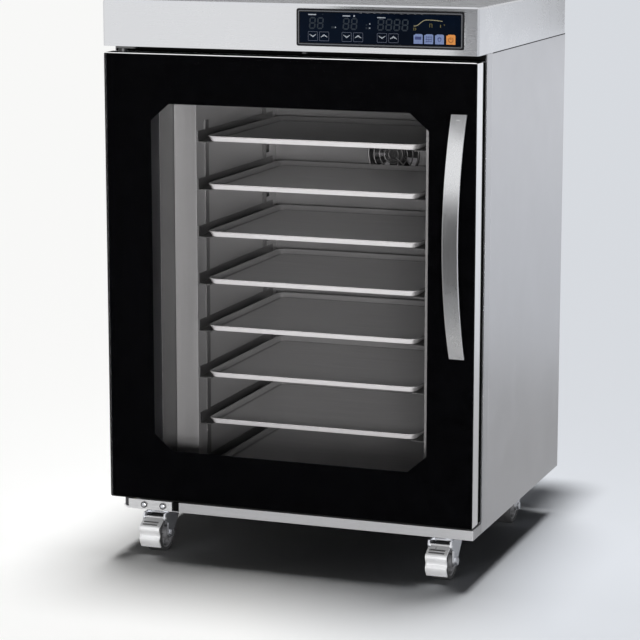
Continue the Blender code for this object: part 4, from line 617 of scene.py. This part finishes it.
BUTTON_LEFTS = (0.0362, 0.0895, 0.1445)
BUTTON_PITCH, BUTTON_WIDTH, BUTTON_LINE = 0.0178, 0.0152, 0.0005
BUTTON_LOW, BUTTON_HIGH = 0.8255, 0.8392
CHEVRONS = ((0.0050, 0.0040, 0.0), (0.0024, 0.0019, -0.0001))  # reach, depth, rise
CHEVRON_LIFT, CHEVRON_LINE = 0.0008, 0.0009

CURVE = ((0.2010, 0.8508), (0.2045, 0.8512), (0.2080, 0.8528), (0.2120, 0.8562), (0.2160, 0.8590),
         (0.2200, 0.8601), (0.2260, 0.8602), (0.2340, 0.8598), (0.2400, 0.8592), (0.2450, 0.8586))
CURVE_MARKS = (((0.2012, 0.8445), (0.2012, 0.8485)), ((0.2030, 0.8445), (0.2045, 0.8465), (0.2030, 0.8485)),
               ((0.2255, 0.8495), (0.2255, 0.8545), (0.2290, 0.8545), (0.2290, 0.8495)))
CURVE_BAR = ((0.2420, 0.8495), (0.2420, 0.8535))
CURVE_DOT = ((0.2470, 0.2484), (0.8528, 0.8542))

# Keys, and their icons: a bar, a grid, a drop and a dial
KEY_LOW, KEY_HIGH = 0.8252, 0.8395
KEYS = (("panel_key_1", 0.2010, 0.2148, "lilac_key"), ("panel_key_2", 0.2172, 0.2310, "lilac_key"),
        ("panel_key_3", 0.2338, 0.2474, "lilac_key"), ("panel_key_power", 0.2510, 0.2648, "orange_key"))
ICON_BAR = ((0.2030, 0.2128), (0.8312, 0.8356))
GRID_X, GRID_Z, GRID_PITCH = (0.2192, 0.2290), (0.8280, 0.8366), 0.0034
GRID_LEFT, GRID_FOOT, GRID_COLUMN, GRID_ROW = 0.2208, 0.8282, 0.0006, 0.0008
DROP_X, DROP_Z, DROP_WIDTH, DROP_HEIGHT = 0.2406, 0.8318, 0.0028, 0.0036
DROP_INNER, DROP_INNER_Z = 0.62, 0.8316
DIAL_X, DIAL_Z, DIAL_RADIUS, DIAL_BAR, DIAL_LINE = 0.2579, 0.8318, 0.0034, 0.0040, 0.0011
DIAL_START, DIAL_SWEEP, DIAL_STEPS = 35, 290, 20
LIGHTS = ((0.0795, 0.8462), (0.1330, 0.8524), (0.1330, 0.8462))


def panel_piece(name, shapes, material):
    piece(name, shapes, material, "cabinet")


def mark(points, width):
    return stroke(points, width, INK)


def block(x_range, z_range, radius=0.0004, y_range=INK):
    return prism(rounded(x_range, z_range, radius, 3), "Y", *y_range)


def digit(left):
    """The seven unlit bars of one readout digit."""
    shapes = []
    for x0, z0, x1, z1 in DIGIT_BARS:
        start = Vector((left + x0 * DIGIT_WIDTH, DIGIT_FOOT + z0 * DIGIT_HEIGHT / 2))
        end = Vector((left + x1 * DIGIT_WIDTH, DIGIT_FOOT + z1 * DIGIT_HEIGHT / 2))
        run = (end - start).normalized() * DIGIT_BAR
        across = Vector((-run.y, run.x)) / 2
        start += run * 0.15
        end -= run * 0.15
        outline = [start, start + run / 2 + across, end - run / 2 + across, end, end - run / 2 - across,
                   start + run / 2 - across]
        shapes.append(prism([(p.x + (p.y - DIGIT_FOOT) * DIGIT_LEAN, p.y) for p in outline], "Y", *INK))
    return shapes


def key_outline(left, right):
    """A key with a dipped upper edge."""
    return [(left, KEY_LOW), (right, KEY_LOW), (right, KEY_HIGH - 0.0012), (right - 0.0022, KEY_HIGH),
            (left + 0.0030, KEY_HIGH), (left + 0.0018, KEY_HIGH - 0.0014), (left, KEY_HIGH - 0.0014)]


line = [rounded((BEZEL_LOW.x + inset, BEZEL_HIGH.x - inset),
                (BEZEL_LOW.z + inset, BEZEL_HIGH.z - inset), radius) for inset, radius in PANEL_LINE]
piece("panel_line", [framed(*line, "Y", *PANEL_LINE_Y)], "panel_line", "cabinet")

digits = []
for left, count in READOUTS:
    for index in range(count):
        digits += digit(left + index * DIGIT_PITCH)
panel_piece("panel_digits", digits, "ghost_ink")
panel_piece("panel_labels", [block(*spans) for spans in LABELS], "pale_ink")

buttons = []
chevrons = []
for left in BUTTON_LEFTS:
    for index, way in enumerate((-1, 1)):
        x0 = left + index * BUTTON_PITCH
        x1 = x0 + BUTTON_WIDTH
        outer = rounded((x0, x1), (BUTTON_LOW, BUTTON_HIGH), 0.0012, 3)
        inner = rounded((x0 + BUTTON_LINE, x1 - BUTTON_LINE),
                        (BUTTON_LOW + BUTTON_LINE, BUTTON_HIGH - BUTTON_LINE), 0.0008, 3)
        buttons.append(framed(outer, inner, "Y", *INK))
        middle, level = (x0 + x1) / 2, (BUTTON_LOW + BUTTON_HIGH) / 2 + CHEVRON_LIFT
        for reach, depth, rise in CHEVRONS:
            foot, tip = level - way * depth / 2 + rise, level + way * depth / 2 + rise
            points = [(middle - reach, foot), (middle, tip), (middle + reach, foot)]
            chevrons.append(mark(points, CHEVRON_LINE))
panel_piece("panel_units", [block(*spans) for spans in UNITS] + [mark(CORNER_MARK, 0.0005)], "ghost_ink")
panel_piece("panel_buttons", buttons, "outline_ink")
panel_piece("panel_chevrons", chevrons, "pale_ink")
panel_piece("panel_curve", [mark(CURVE, 0.0010)], "cream_ink")
panel_piece("panel_curve_marks", [mark(points, 0.0009) for points in CURVE_MARKS]
            + [mark(CURVE_BAR, 0.0011), block(*CURVE_DOT)], "ochre_ink")
for name, left, right, material in KEYS:
    panel_piece(name, [prism(key_outline(left, right), "Y", *KEY_INK)], material)

icons = [block(*ICON_BAR, 0.0005, ICON_INK)]
for row in range(3):
    foot = GRID_FOOT + row * GRID_PITCH
    icons.append(block(GRID_X, (foot, foot + GRID_ROW), 0.0003, ICON_INK))
for column in range(3):
    left = GRID_LEFT + column * GRID_PITCH
    icons.append(block((left, left + GRID_COLUMN), GRID_Z, 0.0002, ICON_INK))
drop = [(DROP_X + DROP_WIDTH * math.sin(a) * (1 - 0.35 * math.cos(a)), DROP_Z - DROP_HEIGHT * math.cos(a))
        for a in [2 * math.pi * k / 20 for k in range(20)]]
drop_in = [(DROP_X + (x - DROP_X) * DROP_INNER, DROP_INNER_Z + (z - DROP_Z) * DROP_INNER) for x, z in drop]
icons.append(framed(drop, drop_in, "Y", *ICON_INK))
panel_piece("panel_key_icons", icons, "key_icon")

arc = [(DIAL_X + DIAL_RADIUS * math.sin(a), DIAL_Z + DIAL_RADIUS * math.cos(a))
       for a in [math.radians(DIAL_START + DIAL_SWEEP * k / DIAL_STEPS) for k in range(DIAL_STEPS + 1)]]
dial_bar = [(DIAL_X, DIAL_Z), (DIAL_X, DIAL_Z + DIAL_BAR)]
panel_piece("panel_power_icon", [stroke(points, DIAL_LINE, ICON_INK) for points in (arc, dial_bar)],
            "light_icon")
light = ((0.0009, INK[1]), (0.0009, INK[0]), (0.0005, INK[0] - 0.0001))
panel_piece("panel_leds", [turned(light, "Y", place, 16, False) for place in LIGHTS], "pale_ink")


# Fan guard in round wire: each ring's radius and thickness, and a lug's radii and rises
GUARD_RINGS = ((0.0440, 0.0017), (0.0343, 0.0010), (0.0246, 0.0010), (0.0158, 0.0010), (0.0085, 0.0010))
GUARD_RING_DEPTH, GUARD_RING_POINTS = 0.0017, 64
GUARD_ARM_START, GUARD_ARM_REACH, GUARD_ARM_DEPTH, GUARD_ARM_RADIUS = 0.0075, 0.066, 0.0014, 0.0011
GUARD_LUG = ((0.0055, 0.0), (0.0055, 0.0020), (0.0050, 0.0024), (0.0040, 0.0024), (0.0036, 0.0031),
             (0.0024, 0.0038))
fan_x, fan_z = (GUARD_LOW.x + GUARD_HIGH.x) / 2, (GUARD_LOW.z + GUARD_HIGH.z) / 2


def by_the_fan(angle, radius, depth):
    """A point in front of the back wall, round the fan's axis."""
    return Vector((fan_x + radius * math.cos(angle), GUARD_HIGH.y - depth, fan_z + radius * math.sin(angle)))


wires = []
for radius, thick in GUARD_RINGS:
    wires.append(wire([by_the_fan(2 * math.pi * k / GUARD_RING_POINTS, radius, GUARD_RING_DEPTH)
                       for k in range(GUARD_RING_POINTS)], thick, True))
lugs = []
for quarter in range(4):
    angle = (quarter + 0.5) * math.pi / 2
    near = by_the_fan(angle, GUARD_ARM_START, GUARD_ARM_DEPTH)
    far = by_the_fan(angle, GUARD_ARM_REACH, GUARD_ARM_DEPTH)
    wires.append(wire([near, near.lerp(far, 0.5), far], GUARD_ARM_RADIUS))
    lug = [(radius, GUARD_HIGH.y - rise) for radius, rise in GUARD_LUG]
    lugs.append(turned(lug, "Y", (far.x, far.z), 24, False))
piece("fan_guard_wires", wires + lugs, "guard_wire", "cabinet", ["fan_guard"])


# Door seal with a folded bellows, as its inset and its rise from the door
SEAL = ((0.0000, 0.0000), (0.0000, 0.0035), (0.0016, 0.0050), (0.0004, 0.0072), (0.0004, 0.0098),
        (0.0014, 0.0112), (0.0000, 0.0124), (0.0004, 0.0154), (0.0116, 0.0154), (0.0120, 0.0124),
        (0.0106, 0.0112), (0.0116, 0.0098), (0.0116, 0.0072), (0.0104, 0.0050), (0.0120, 0.0035),
        (0.0120, 0.0000))


def gasket_loop(inset, y):
    across = (GASKET_LOW.x + inset, GASKET_HIGH.x - inset)
    up = (GASKET_LOW.z + inset, GASKET_HIGH.z - inset)
    return [on_axis("Y", a, b, y) for a, b in rounded(across, up, 0.003, 3)]


piece("door_seal", [loft([gasket_loop(inset, GASKET_LOW.y + rise) for inset, rise in SEAL], True)],
      "seal_rubber", "door", ["door_gasket"])


# Sealant in the seam between the header and the side panels, as its step out and its rise
SEAM = ((-0.0015, -0.0014), (0.00004, -0.0013), (0.00006, -0.0005), (0.00004, 0.0002), (-0.0015, 0.0003))
seams = []
for side in (-1, 1):
    bead = [(side * (HEADER_HIGH.x + out), HEADER_LOW.z + rise) for out, rise in SEAM]
    seams.append(prism(bead, "Y", SIDE_LOW.y + 0.0005, SIDE_HIGH.y - 0.0005))
piece("header_seams", seams, "trim_rubber", "cabinet")

# Black edge trim behind the door's free side, whose black also stands in for the shade of the gap beside the
# door, as its step out and its depth
TRIM_Y = GASKET_LOW.y + 0.0002
TRIM = ((-0.0190, 0), (-0.0008, 0), (0, 0.0008), (0, 0.0048), (-0.0008, 0.0054), (-0.0008, 0.0072),
        (0, 0.0078), (0, 0.0126), (-0.0012, 0.0138), (-0.0060, 0.0138), (-0.0060, 0.0020), (-0.0190, 0.0016))
piece("door_edge_trim", [prism([(DOOR_SIDE + out, TRIM_Y + depth) for out, depth in TRIM], "Z",
                               GASKET_LOW.z + 0.001, GASKET_HIGH.z - 0.001)], "trim_rubber", "door")

# Black seal on the front frame, in the gap over the door, whose black also stands in for the gap's shade, as
# its step forward and its height
LINTEL_LOW, LINTEL_HIGH = DOOR_TOP - 0.0012, HEADER_LOW.z - 0.0002
LINTEL = ((0.00005, LINTEL_HIGH), (0.0016, LINTEL_HIGH), (0.0022, LINTEL_HIGH - 0.0008),
          (0.0022, LINTEL_LOW + 0.0012), (0.0014, LINTEL_LOW + 0.0003), (0.00005, LINTEL_LOW))
piece("lintel_seal", [prism([(FRAME_Y - out, height) for out, height in LINTEL], "X",
                            0.001 - DOOR_SIDE, DOOR_SIDE - 0.001)], "trim_rubber", "cabinet")

# Pressed ribs on the brake pedals, dark as painted shade of the grooves between them, as their step down the
# slope and out of it
PEDAL_UPPER, PEDAL_LOWER = Vector((0.0115, 0.0407)), Vector((0.0022, 0.0350))
RIB = ((-0.0011, 0.0010), (-0.0008, 0.0016), (0, 0.0019), (0.0008, 0.0016), (0.0011, 0.0010))
RIB_SHARES, RIB_HALF = (0.22, 0.74), 0.0125
for place in CASTERS[:2]:
    low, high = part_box("brake_pedal_" + place)
    x = (low.x + high.x) / 2
    upper, lower = [Vector((low.y, low.z)) + point for point in (PEDAL_UPPER, PEDAL_LOWER)]
    run = (lower - upper).normalized()
    out = Vector((run.y, -run.x))
    ribs = []
    for share in RIB_SHARES:
        outline = [upper.lerp(lower, share) + run * down + out * rise for down, rise in RIB]
        ribs.append(prism([(p.x, p.y) for p in outline], "X", x - RIB_HALF, x + RIB_HALF))
    # the ribs' dark grey is painted shade of grooves
    piece("pedal_ribs_" + place, ribs, "guard_wire", "pedal_" + place)


# Caster wheels: half profiles of the tyre and the hub, as radius and distance from the middle
TYRE = ((0.0240, 0.0120), (0.0243, 0.0134), (0.0268, 0.0140), (0.0286, 0.0136), (0.0296, 0.0122),
        (0.0300, 0.0095), (0.0300, 0.0058), (0.0295, 0.0053), (0.0295, 0.0044), (0.0300, 0.0039))
HUB = ((0.0043, 0.0155), (0.0080, 0.0155), (0.0088, 0.0148), (0.0100, 0.0148), (0.0110, 0.0138),
       (0.0113, 0.0066), (0.0122, 0.0060), (0.0192, 0.0056), (0.0205, 0.0066), (0.0210, 0.0118),
       (0.0218, 0.0125), (0.0239, 0.0125))
SPOKES, SPOKE_INNER, SPOKE_OUTER, SPOKE_HALF = 6, 0.0108, 0.0213, 0.0010
SPOKE_FOOT, SPOKE_FACE = 0.0050, 0.0108


def both_sides(half, x):
    near = [(radius, x - away) for radius, away in half]
    return near + [(radius, x + away) for radius, away in half[::-1]]


for place in CASTERS:
    low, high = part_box("caster_wheel_" + place)
    x, y, z = (low + high) / 2
    body = "wheel_" + place
    piece("tyre_" + place, [turned(both_sides(TYRE, x), "X", (y, z), 56)], "tyre_rubber", body,
          ["caster_wheel_" + place])
    hub = [turned(both_sides(HUB, x), "X", (y, z), 48)]
    for side in (-1, 1):
        for spoke in range(SPOKES):
            angle = 2 * math.pi * spoke / SPOKES
            run = Vector((math.cos(angle), math.sin(angle)))
            over = Vector((-run.y, run.x)) * SPOKE_HALF
            outline = [Vector((y, z)) + run * reach + over * way for reach, way in (
                (SPOKE_INNER, 1), (SPOKE_OUTER, 1), (SPOKE_OUTER, -1), (SPOKE_INNER, -1))]
            hub.append(prism([(p.x, p.y) for p in outline], "X",
                             *sorted((x + side * SPOKE_FACE, x + side * SPOKE_FOOT))))
    piece("wheel_hub_" + place, hub, "hub_plastic", body)


# Fasteners, with the domes of cross-head screws as shares of their radius and height
BOLT_OFFSET, BOLT_RADIUS, BOLT_HEIGHT, BOLT_SINK = 0.023, 0.0036, 0.0028, 0.0025
CROSS_POINTS, CROSS_DOME = 24, ((1, 0.35), (0.92, 0.7), (0.72, 0.93), (0.56, 1))
REAR_EDGE, REAR_EDGE_ROWS = 0.2905, (0.108, 0.270, 0.435, 0.600, 0.795)
REAR_COLUMNS, REAR_ROWS = (-0.15, 0.0, 0.15), (0.104, 0.7995)
INLET_SCREW_OFFSET = 0.0265
HINGE_SCREWS = ((-0.241, 0.5), (-0.209, 1.1))
HINGE_SCREW_Z, HINGE_SCREW_Y = 0.08775, -0.2288
WASHER = ((0.0036, -0.2292), (0.0051, -0.2292), (0.0051, -0.2297), (0.0036, -0.2300))


def hex_bolt(place, surface, radius, height):
    """A washer and a chamfered hexagon head standing down from a surface."""
    washer = ((radius * 1.5, surface), (radius * 1.5, surface - 0.0006), (radius * 0.9, surface - 0.0008))
    end = surface - height
    head = ((radius, surface - 0.0005), (radius, end + 0.0006), (radius * 0.86, end))
    return [turned(washer, "Z", place, 28, False), turned(head, "Z", place, 6, False)]


def cross_screw(place, surface, way, radius=0.0038, height=0.0020, turn=0.4):
    """A round head with a cross recess, on a surface that faces front or back."""
    def lifted(outline, rise):
        return [on_axis("Y", a, b, surface + way * rise) for a, b in outline]

    loops = [lifted(circle(place, radius, CROSS_POINTS, turn), -0.0002)]
    for reach, share in CROSS_DOME:
        loops.append(lifted(circle(place, radius * reach, CROSS_POINTS, turn), height * share))
    arm, slim = 0.46 * radius, 0.13 * radius
    cross = []
    for step in range(CROSS_POINTS):
        a = 2 * math.pi * step / CROSS_POINTS
        reach = min(slim / max(abs(math.sin(a)), 1e-6), slim / max(abs(math.cos(a)), 1e-6))
        reach = arm if reach > arm else max(reach, slim * 1.15)
        cross.append((place[0] + reach * math.cos(a + turn), place[1] + reach * math.sin(a + turn)))
    return [loft(loops + [lifted(cross, height), lifted(cross, height * 0.35)])]


bolts = []
for place in CASTERS:
    low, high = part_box("caster_plate_" + place)
    x, y = (low.x + high.x) / 2, (low.y + high.y) / 2
    for dx in (-BOLT_OFFSET, BOLT_OFFSET):
        for dy in (-BOLT_OFFSET, BOLT_OFFSET):
            bolts += hex_bolt((x + dx, y + dy), high.z - BOLT_SINK, BOLT_RADIUS, BOLT_HEIGHT)
piece("caster_bolts", bolts, "zinc", "cabinet", bevel=0.0001)

rear_screws = []
for z in REAR_EDGE_ROWS:
    for x in (-REAR_EDGE, REAR_EDGE):
        rear_screws += cross_screw((x, z), REAR_Y, 1, turn=x * 40 + z * 9)
for x in REAR_COLUMNS:
    for z in REAR_ROWS:
        rear_screws += cross_screw((x, z), REAR_Y, 1, turn=x * 17 + z * 5)
piece("rear_screws", rear_screws, "zinc", "cabinet")


# Louvre hoods on the rear panel
LOUVRES, LOUVRE_TOP, LOUVRE_PITCH, LOUVRE_X = 8, 0.7498, 0.010, 0.1493
HOOD_WIDTH, HOOD_HEIGHT, HOOD_DEPTH, HOOD_SHEET = 0.064, 0.0040, 0.0034, 0.0008


def hood(x, z):
    """A pressed louvre: a quarter-round hood over its slot, open below."""
    outer = []
    inner = []
    foot = REAR_Y - 0.0002
    top = z + HOOD_HEIGHT - 0.0010
    for step in range(7):
        a = math.pi / 2 * step / 6
        drop = 1 - math.cos(a)
        outer.append((foot + HOOD_DEPTH * math.sin(a), top - (HOOD_HEIGHT + 0.0012) * drop))
        inner.append((foot + (HOOD_DEPTH - HOOD_SHEET) * math.sin(a),
                      top - HOOD_SHEET - (HOOD_HEIGHT + 0.0004) * drop))
    return prism(outer + inner[::-1], "X", x - HOOD_WIDTH / 2, x + HOOD_WIDTH / 2)


piece("louvre_hoods", [hood(side * LOUVRE_X, LOUVRE_TOP - index * LOUVRE_PITCH) for index in range(LOUVRES)
                       for side in (-1, 1)], "side_steel", "cabinet")

low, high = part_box("power_inlet")
inlet_x, inlet_z = (low.x + high.x) / 2, (low.z + high.z) / 2
inlet_screws = []
for side in (-1, 1):
    inlet_screws += cross_screw((inlet_x + side * INLET_SCREW_OFFSET, inlet_z), high.y, 1, 0.0022, 0.0005,
                                0.7 * side)
piece("inlet_screws", inlet_screws, "zinc", "cabinet")

hinge_screws = []
for x, turn in HINGE_SCREWS:
    hinge_screws += cross_screw((x, HINGE_SCREW_Z), HINGE_SCREW_Y, -1, 0.0036, 0.0020, turn)
piece("hinge_screws", hinge_screws, "zinc", "cabinet")

# Black filling in the slot beside the lower hinge, standing in for the slot's shade as painted shade: its
# back, its front edge and its face
SLOT_SHADE = ((0.0, 0.0012, -0.2135), (0.0, 0.0012, -0.2235), (0.0007, 0.0008, -0.2242))
piece("hinge_slot_shade", [loft([[on_axis("Y", a, b, y) for a, b in rounded(
    (inset - 0.1935, -0.1825 - inset), (0.0813 + inset, 0.0949 - inset), radius, 3)]
    for inset, radius, y in SLOT_SHADE])], "trim_rubber", "cabinet")
piece("hinge_screw_washers", [turned(WASHER, "Y", (x, HINGE_SCREW_Z), 32) for x, turn in HINGE_SCREWS],
      "black_plastic", "cabinet")


# Stage, light and camera
FLOOR_REACH, FLOOR_STEPS, CARD_STEPS = 60.0, 12, 4
FLOOR_TURN, FLOOR_BLEND = math.radians(-20), (-0.15, 0.30)
FLOOR_WARM, FLOOR_COOL = (0.97, 0.97, 0.96), (0.70, 0.725, 0.765)
WORLD_COLOUR, WORLD_LIGHT, WORLD_SEEN = (0.98, 0.99, 1.0, 1), 0.03, 0.91

# Each card's span across, its span or place in depth, its span or place in height, and its tone
REFLECTED_CARDS = {
    "low_card": ((-0.90, 0.30), (-1.48, -0.40), 0.01, 0.45),
    "side_flag_0": ((0.05, 0.30), -0.56, (0.05, 0.28), 0.60),
    "side_flag_1": ((0.05, 0.30), -0.56, (0.28, 0.39), 0.25),
    "side_flag_2": ((0.05, 0.30), -0.56, (0.39, 0.52), 0.07),
    "side_flag_3": ((0.05, 0.30), -0.56, (0.52, 0.60), 0.16),
    "side_flag_4": ((0.05, 0.30), -0.56, (0.60, 0.65), 0.50),
    "high_flag": ((0.02, 0.36), -0.40, (0.84, 0.98), 0.20),
    "end_flag": ((0.225, 0.36), -0.36, (0.77, 0.90), 0.9),
    "right_card": ((0.34, 1.30), (-0.20, 1.40), 0.01, 0.36),
    "top_card": ((-0.60, 0.35), 0.55, (0.90, 1.60), 0.35),
    "far_card": ((0.36, 0.54), 1.00, (0.76, 0.90), 0.30),
}
SHADOW_CARD = ((-0.30, 0.30), (0.29, 0.50), 0.30, 0.5)

# The sun's bearing, power and angle across; each lamp's place, target, size and power
KEY_SUN = ((0, 0.185, 1.0), 3.0, 21)
FRONT_LAMP = ((1.45, -4.0, 0.64), (0, 0, 0.60), (1.3, 0.46), 120)
LOW_LAMP = ((1.20, -3.6, 0.14), (0, 0, 0.25), (1.3, 0.20), 50)
REAR_LAMP = ((1.75, 3.70, 0.40), (0.30, 0, 0.60), (1.0, 0.6), 0.8)

# Camera, fitted to the outer corners of the cabinet
CAMERA_PLACE, CAMERA_LENS, CAMERA_SENSOR = (1.3157, -3.6896, 1.1018), 139.10, 36.0
CAMERA_TILT, CAMERA_TURN = math.radians(79.27), math.radians(20.016)


def flat_grid(name, steps, point):
    """A flat square grid of a stage, from a function that places each of its points."""
    shape = bmesh.new()
    rows = [[shape.verts.new(point(i / steps, j / steps)) for i in range(steps + 1)]
            for j in range(steps + 1)]
    for low, high in zip(rows, rows[1:]):
        for i in range(steps):
            shape.faces.new((low[i], low[i + 1], high[i + 1], high[i]))
    mesh = bpy.data.meshes.new(name)
    shape.to_mesh(mesh)
    shape.free()
    made = bpy.data.objects.new(name, mesh)
    bpy.context.scene.collection.objects.link(made)
    return made


def stage_floor():
    """A pale floor, warm on the left and cool on the right."""
    floor = flat_grid("floor", FLOOR_STEPS,
                      lambda i, j: (FLOOR_REACH * (2 * i - 1), FLOOR_REACH * (2 * j - 1), 0))
    shade = Shade("floor")
    place = shade.node("ShaderNodeMapping", {"Vector": shade.place, "Rotation": (0, 0, FLOOR_TURN)})
    share = shade.spread(shade.part("X", place.outputs["Vector"]), 0, 1, *FLOOR_BLEND)
    colour = shade.ramp(share, [(0.0, FLOOR_WARM), (1.0, FLOOR_COOL)])
    floor.data.materials.append(shade.surface(Base_Color=colour, Roughness=0.9, Specular_IOR_Level=0.0))
    return floor


def stage_card(name, across, depth, height, tone, shades=False):
    """A grey card, as a photographer's flag, that only reflections see or that only casts a shadow."""
    upright = isinstance(height, tuple)
    start, end = height if upright else depth

    def point(i, j):
        x = across[0] + (across[1] - across[0]) * i
        along = start + (end - start) * j
        return (x, depth, along) if upright else (x, along, height)

    card = flat_grid(name, CARD_STEPS, point)
    shade = Shade(name)
    colour = shade.mix(shade.noise(4.0), (tone * 0.9,) * 3, (tone * 1.1,) * 3)
    card.data.materials.append(shade.surface(Base_Color=colour, Roughness=0.9, Specular_IOR_Level=0.0))
    for way in ("camera", "diffuse", "glossy" if shades else "shadow", "transmission", "volume_scatter"):
        setattr(card, "visible_" + way, False)


def stage_world():
    """A studio that lights little, and is seen pale by the camera, by reflections and through glass."""
    world = bpy.data.worlds.new("studio")
    world.use_nodes = True
    tree = world.node_tree
    tree.nodes.clear()
    rays = add_node(tree, "ShaderNodeLightPath").outputs

    def combined(operation, first, second):
        return add_node(tree, "ShaderNodeMath", {0: first, 1: second}, operation=operation).outputs[0]

    seen = combined("MAXIMUM", rays["Is Camera Ray"], rays["Is Glossy Ray"])
    seen = combined("MAXIMUM", seen, rays["Is Transmission Ray"])
    strength = combined("ADD", WORLD_LIGHT, combined("MULTIPLY", seen, WORLD_SEEN))
    back = add_node(tree, "ShaderNodeBackground", {"Color": WORLD_COLOUR, "Strength": strength})
    add_node(tree, "ShaderNodeOutputWorld", {"Surface": back.outputs[0]})
    bpy.context.scene.world = world


def aimed(name, kind, power, direction):
    """A lamp that shines along a direction."""
    data = bpy.data.lights.new(name, kind)
    data.energy = power
    lamp = bpy.data.objects.new(name, data)
    lamp.rotation_mode = "QUATERNION"
    lamp.rotation_quaternion = direction.to_track_quat("-Z", "Y")
    bpy.context.scene.collection.objects.link(lamp)
    return lamp


def sun_lamp(name, source, power, angle):
    lamp = aimed(name, "SUN", power, -Vector(source))
    lamp.data.angle = math.radians(angle)
    lamp.visible_glossy = False


def area_lamp(name, place, target, size, power, unlit):
    """A rectangular lamp that doesn't light the objects named unlit."""
    lamp = aimed(name, "AREA", power, Vector(target) - Vector(place))
    lamp.location = place
    lamp.data.shape = "RECTANGLE"
    lamp.data.size, lamp.data.size_y = size
    skipped = bpy.data.collections.new(name + "_skips")
    for skip in unlit:
        skipped.objects.link(skip)
    for entry in skipped.collection_objects:
        entry.light_linking.link_state = "EXCLUDE"
    lamp.light_linking.receiver_collection = skipped


floor = stage_floor()
stage_world()
for name, card in REFLECTED_CARDS.items():
    stage_card(name, *card)
stage_card("back_flag", *SHADOW_CARD, shades=True)
front_unlit = [floor] + [NODES[name] for name in ("header_cover", "door_handle", "hinge_plate_upper",
                                                  "front_frame")]
sun_lamp("key", *KEY_SUN)
area_lamp("front", *FRONT_LAMP, front_unlit)
area_lamp("low", *LOW_LAMP, front_unlit)
area_lamp("rear", *REAR_LAMP, [floor])

camera_data = bpy.data.cameras.new("camera")
camera_data.sensor_width = CAMERA_SENSOR
camera_data.lens = CAMERA_LENS
camera = bpy.data.objects.new("camera", camera_data)
camera.location = CAMERA_PLACE
camera.rotation_euler = (CAMERA_TILT, 0, CAMERA_TURN)
bpy.context.scene.collection.objects.link(camera)
bpy.context.scene.camera = camera
bpy.context.scene.view_settings.view_transform = "Standard"
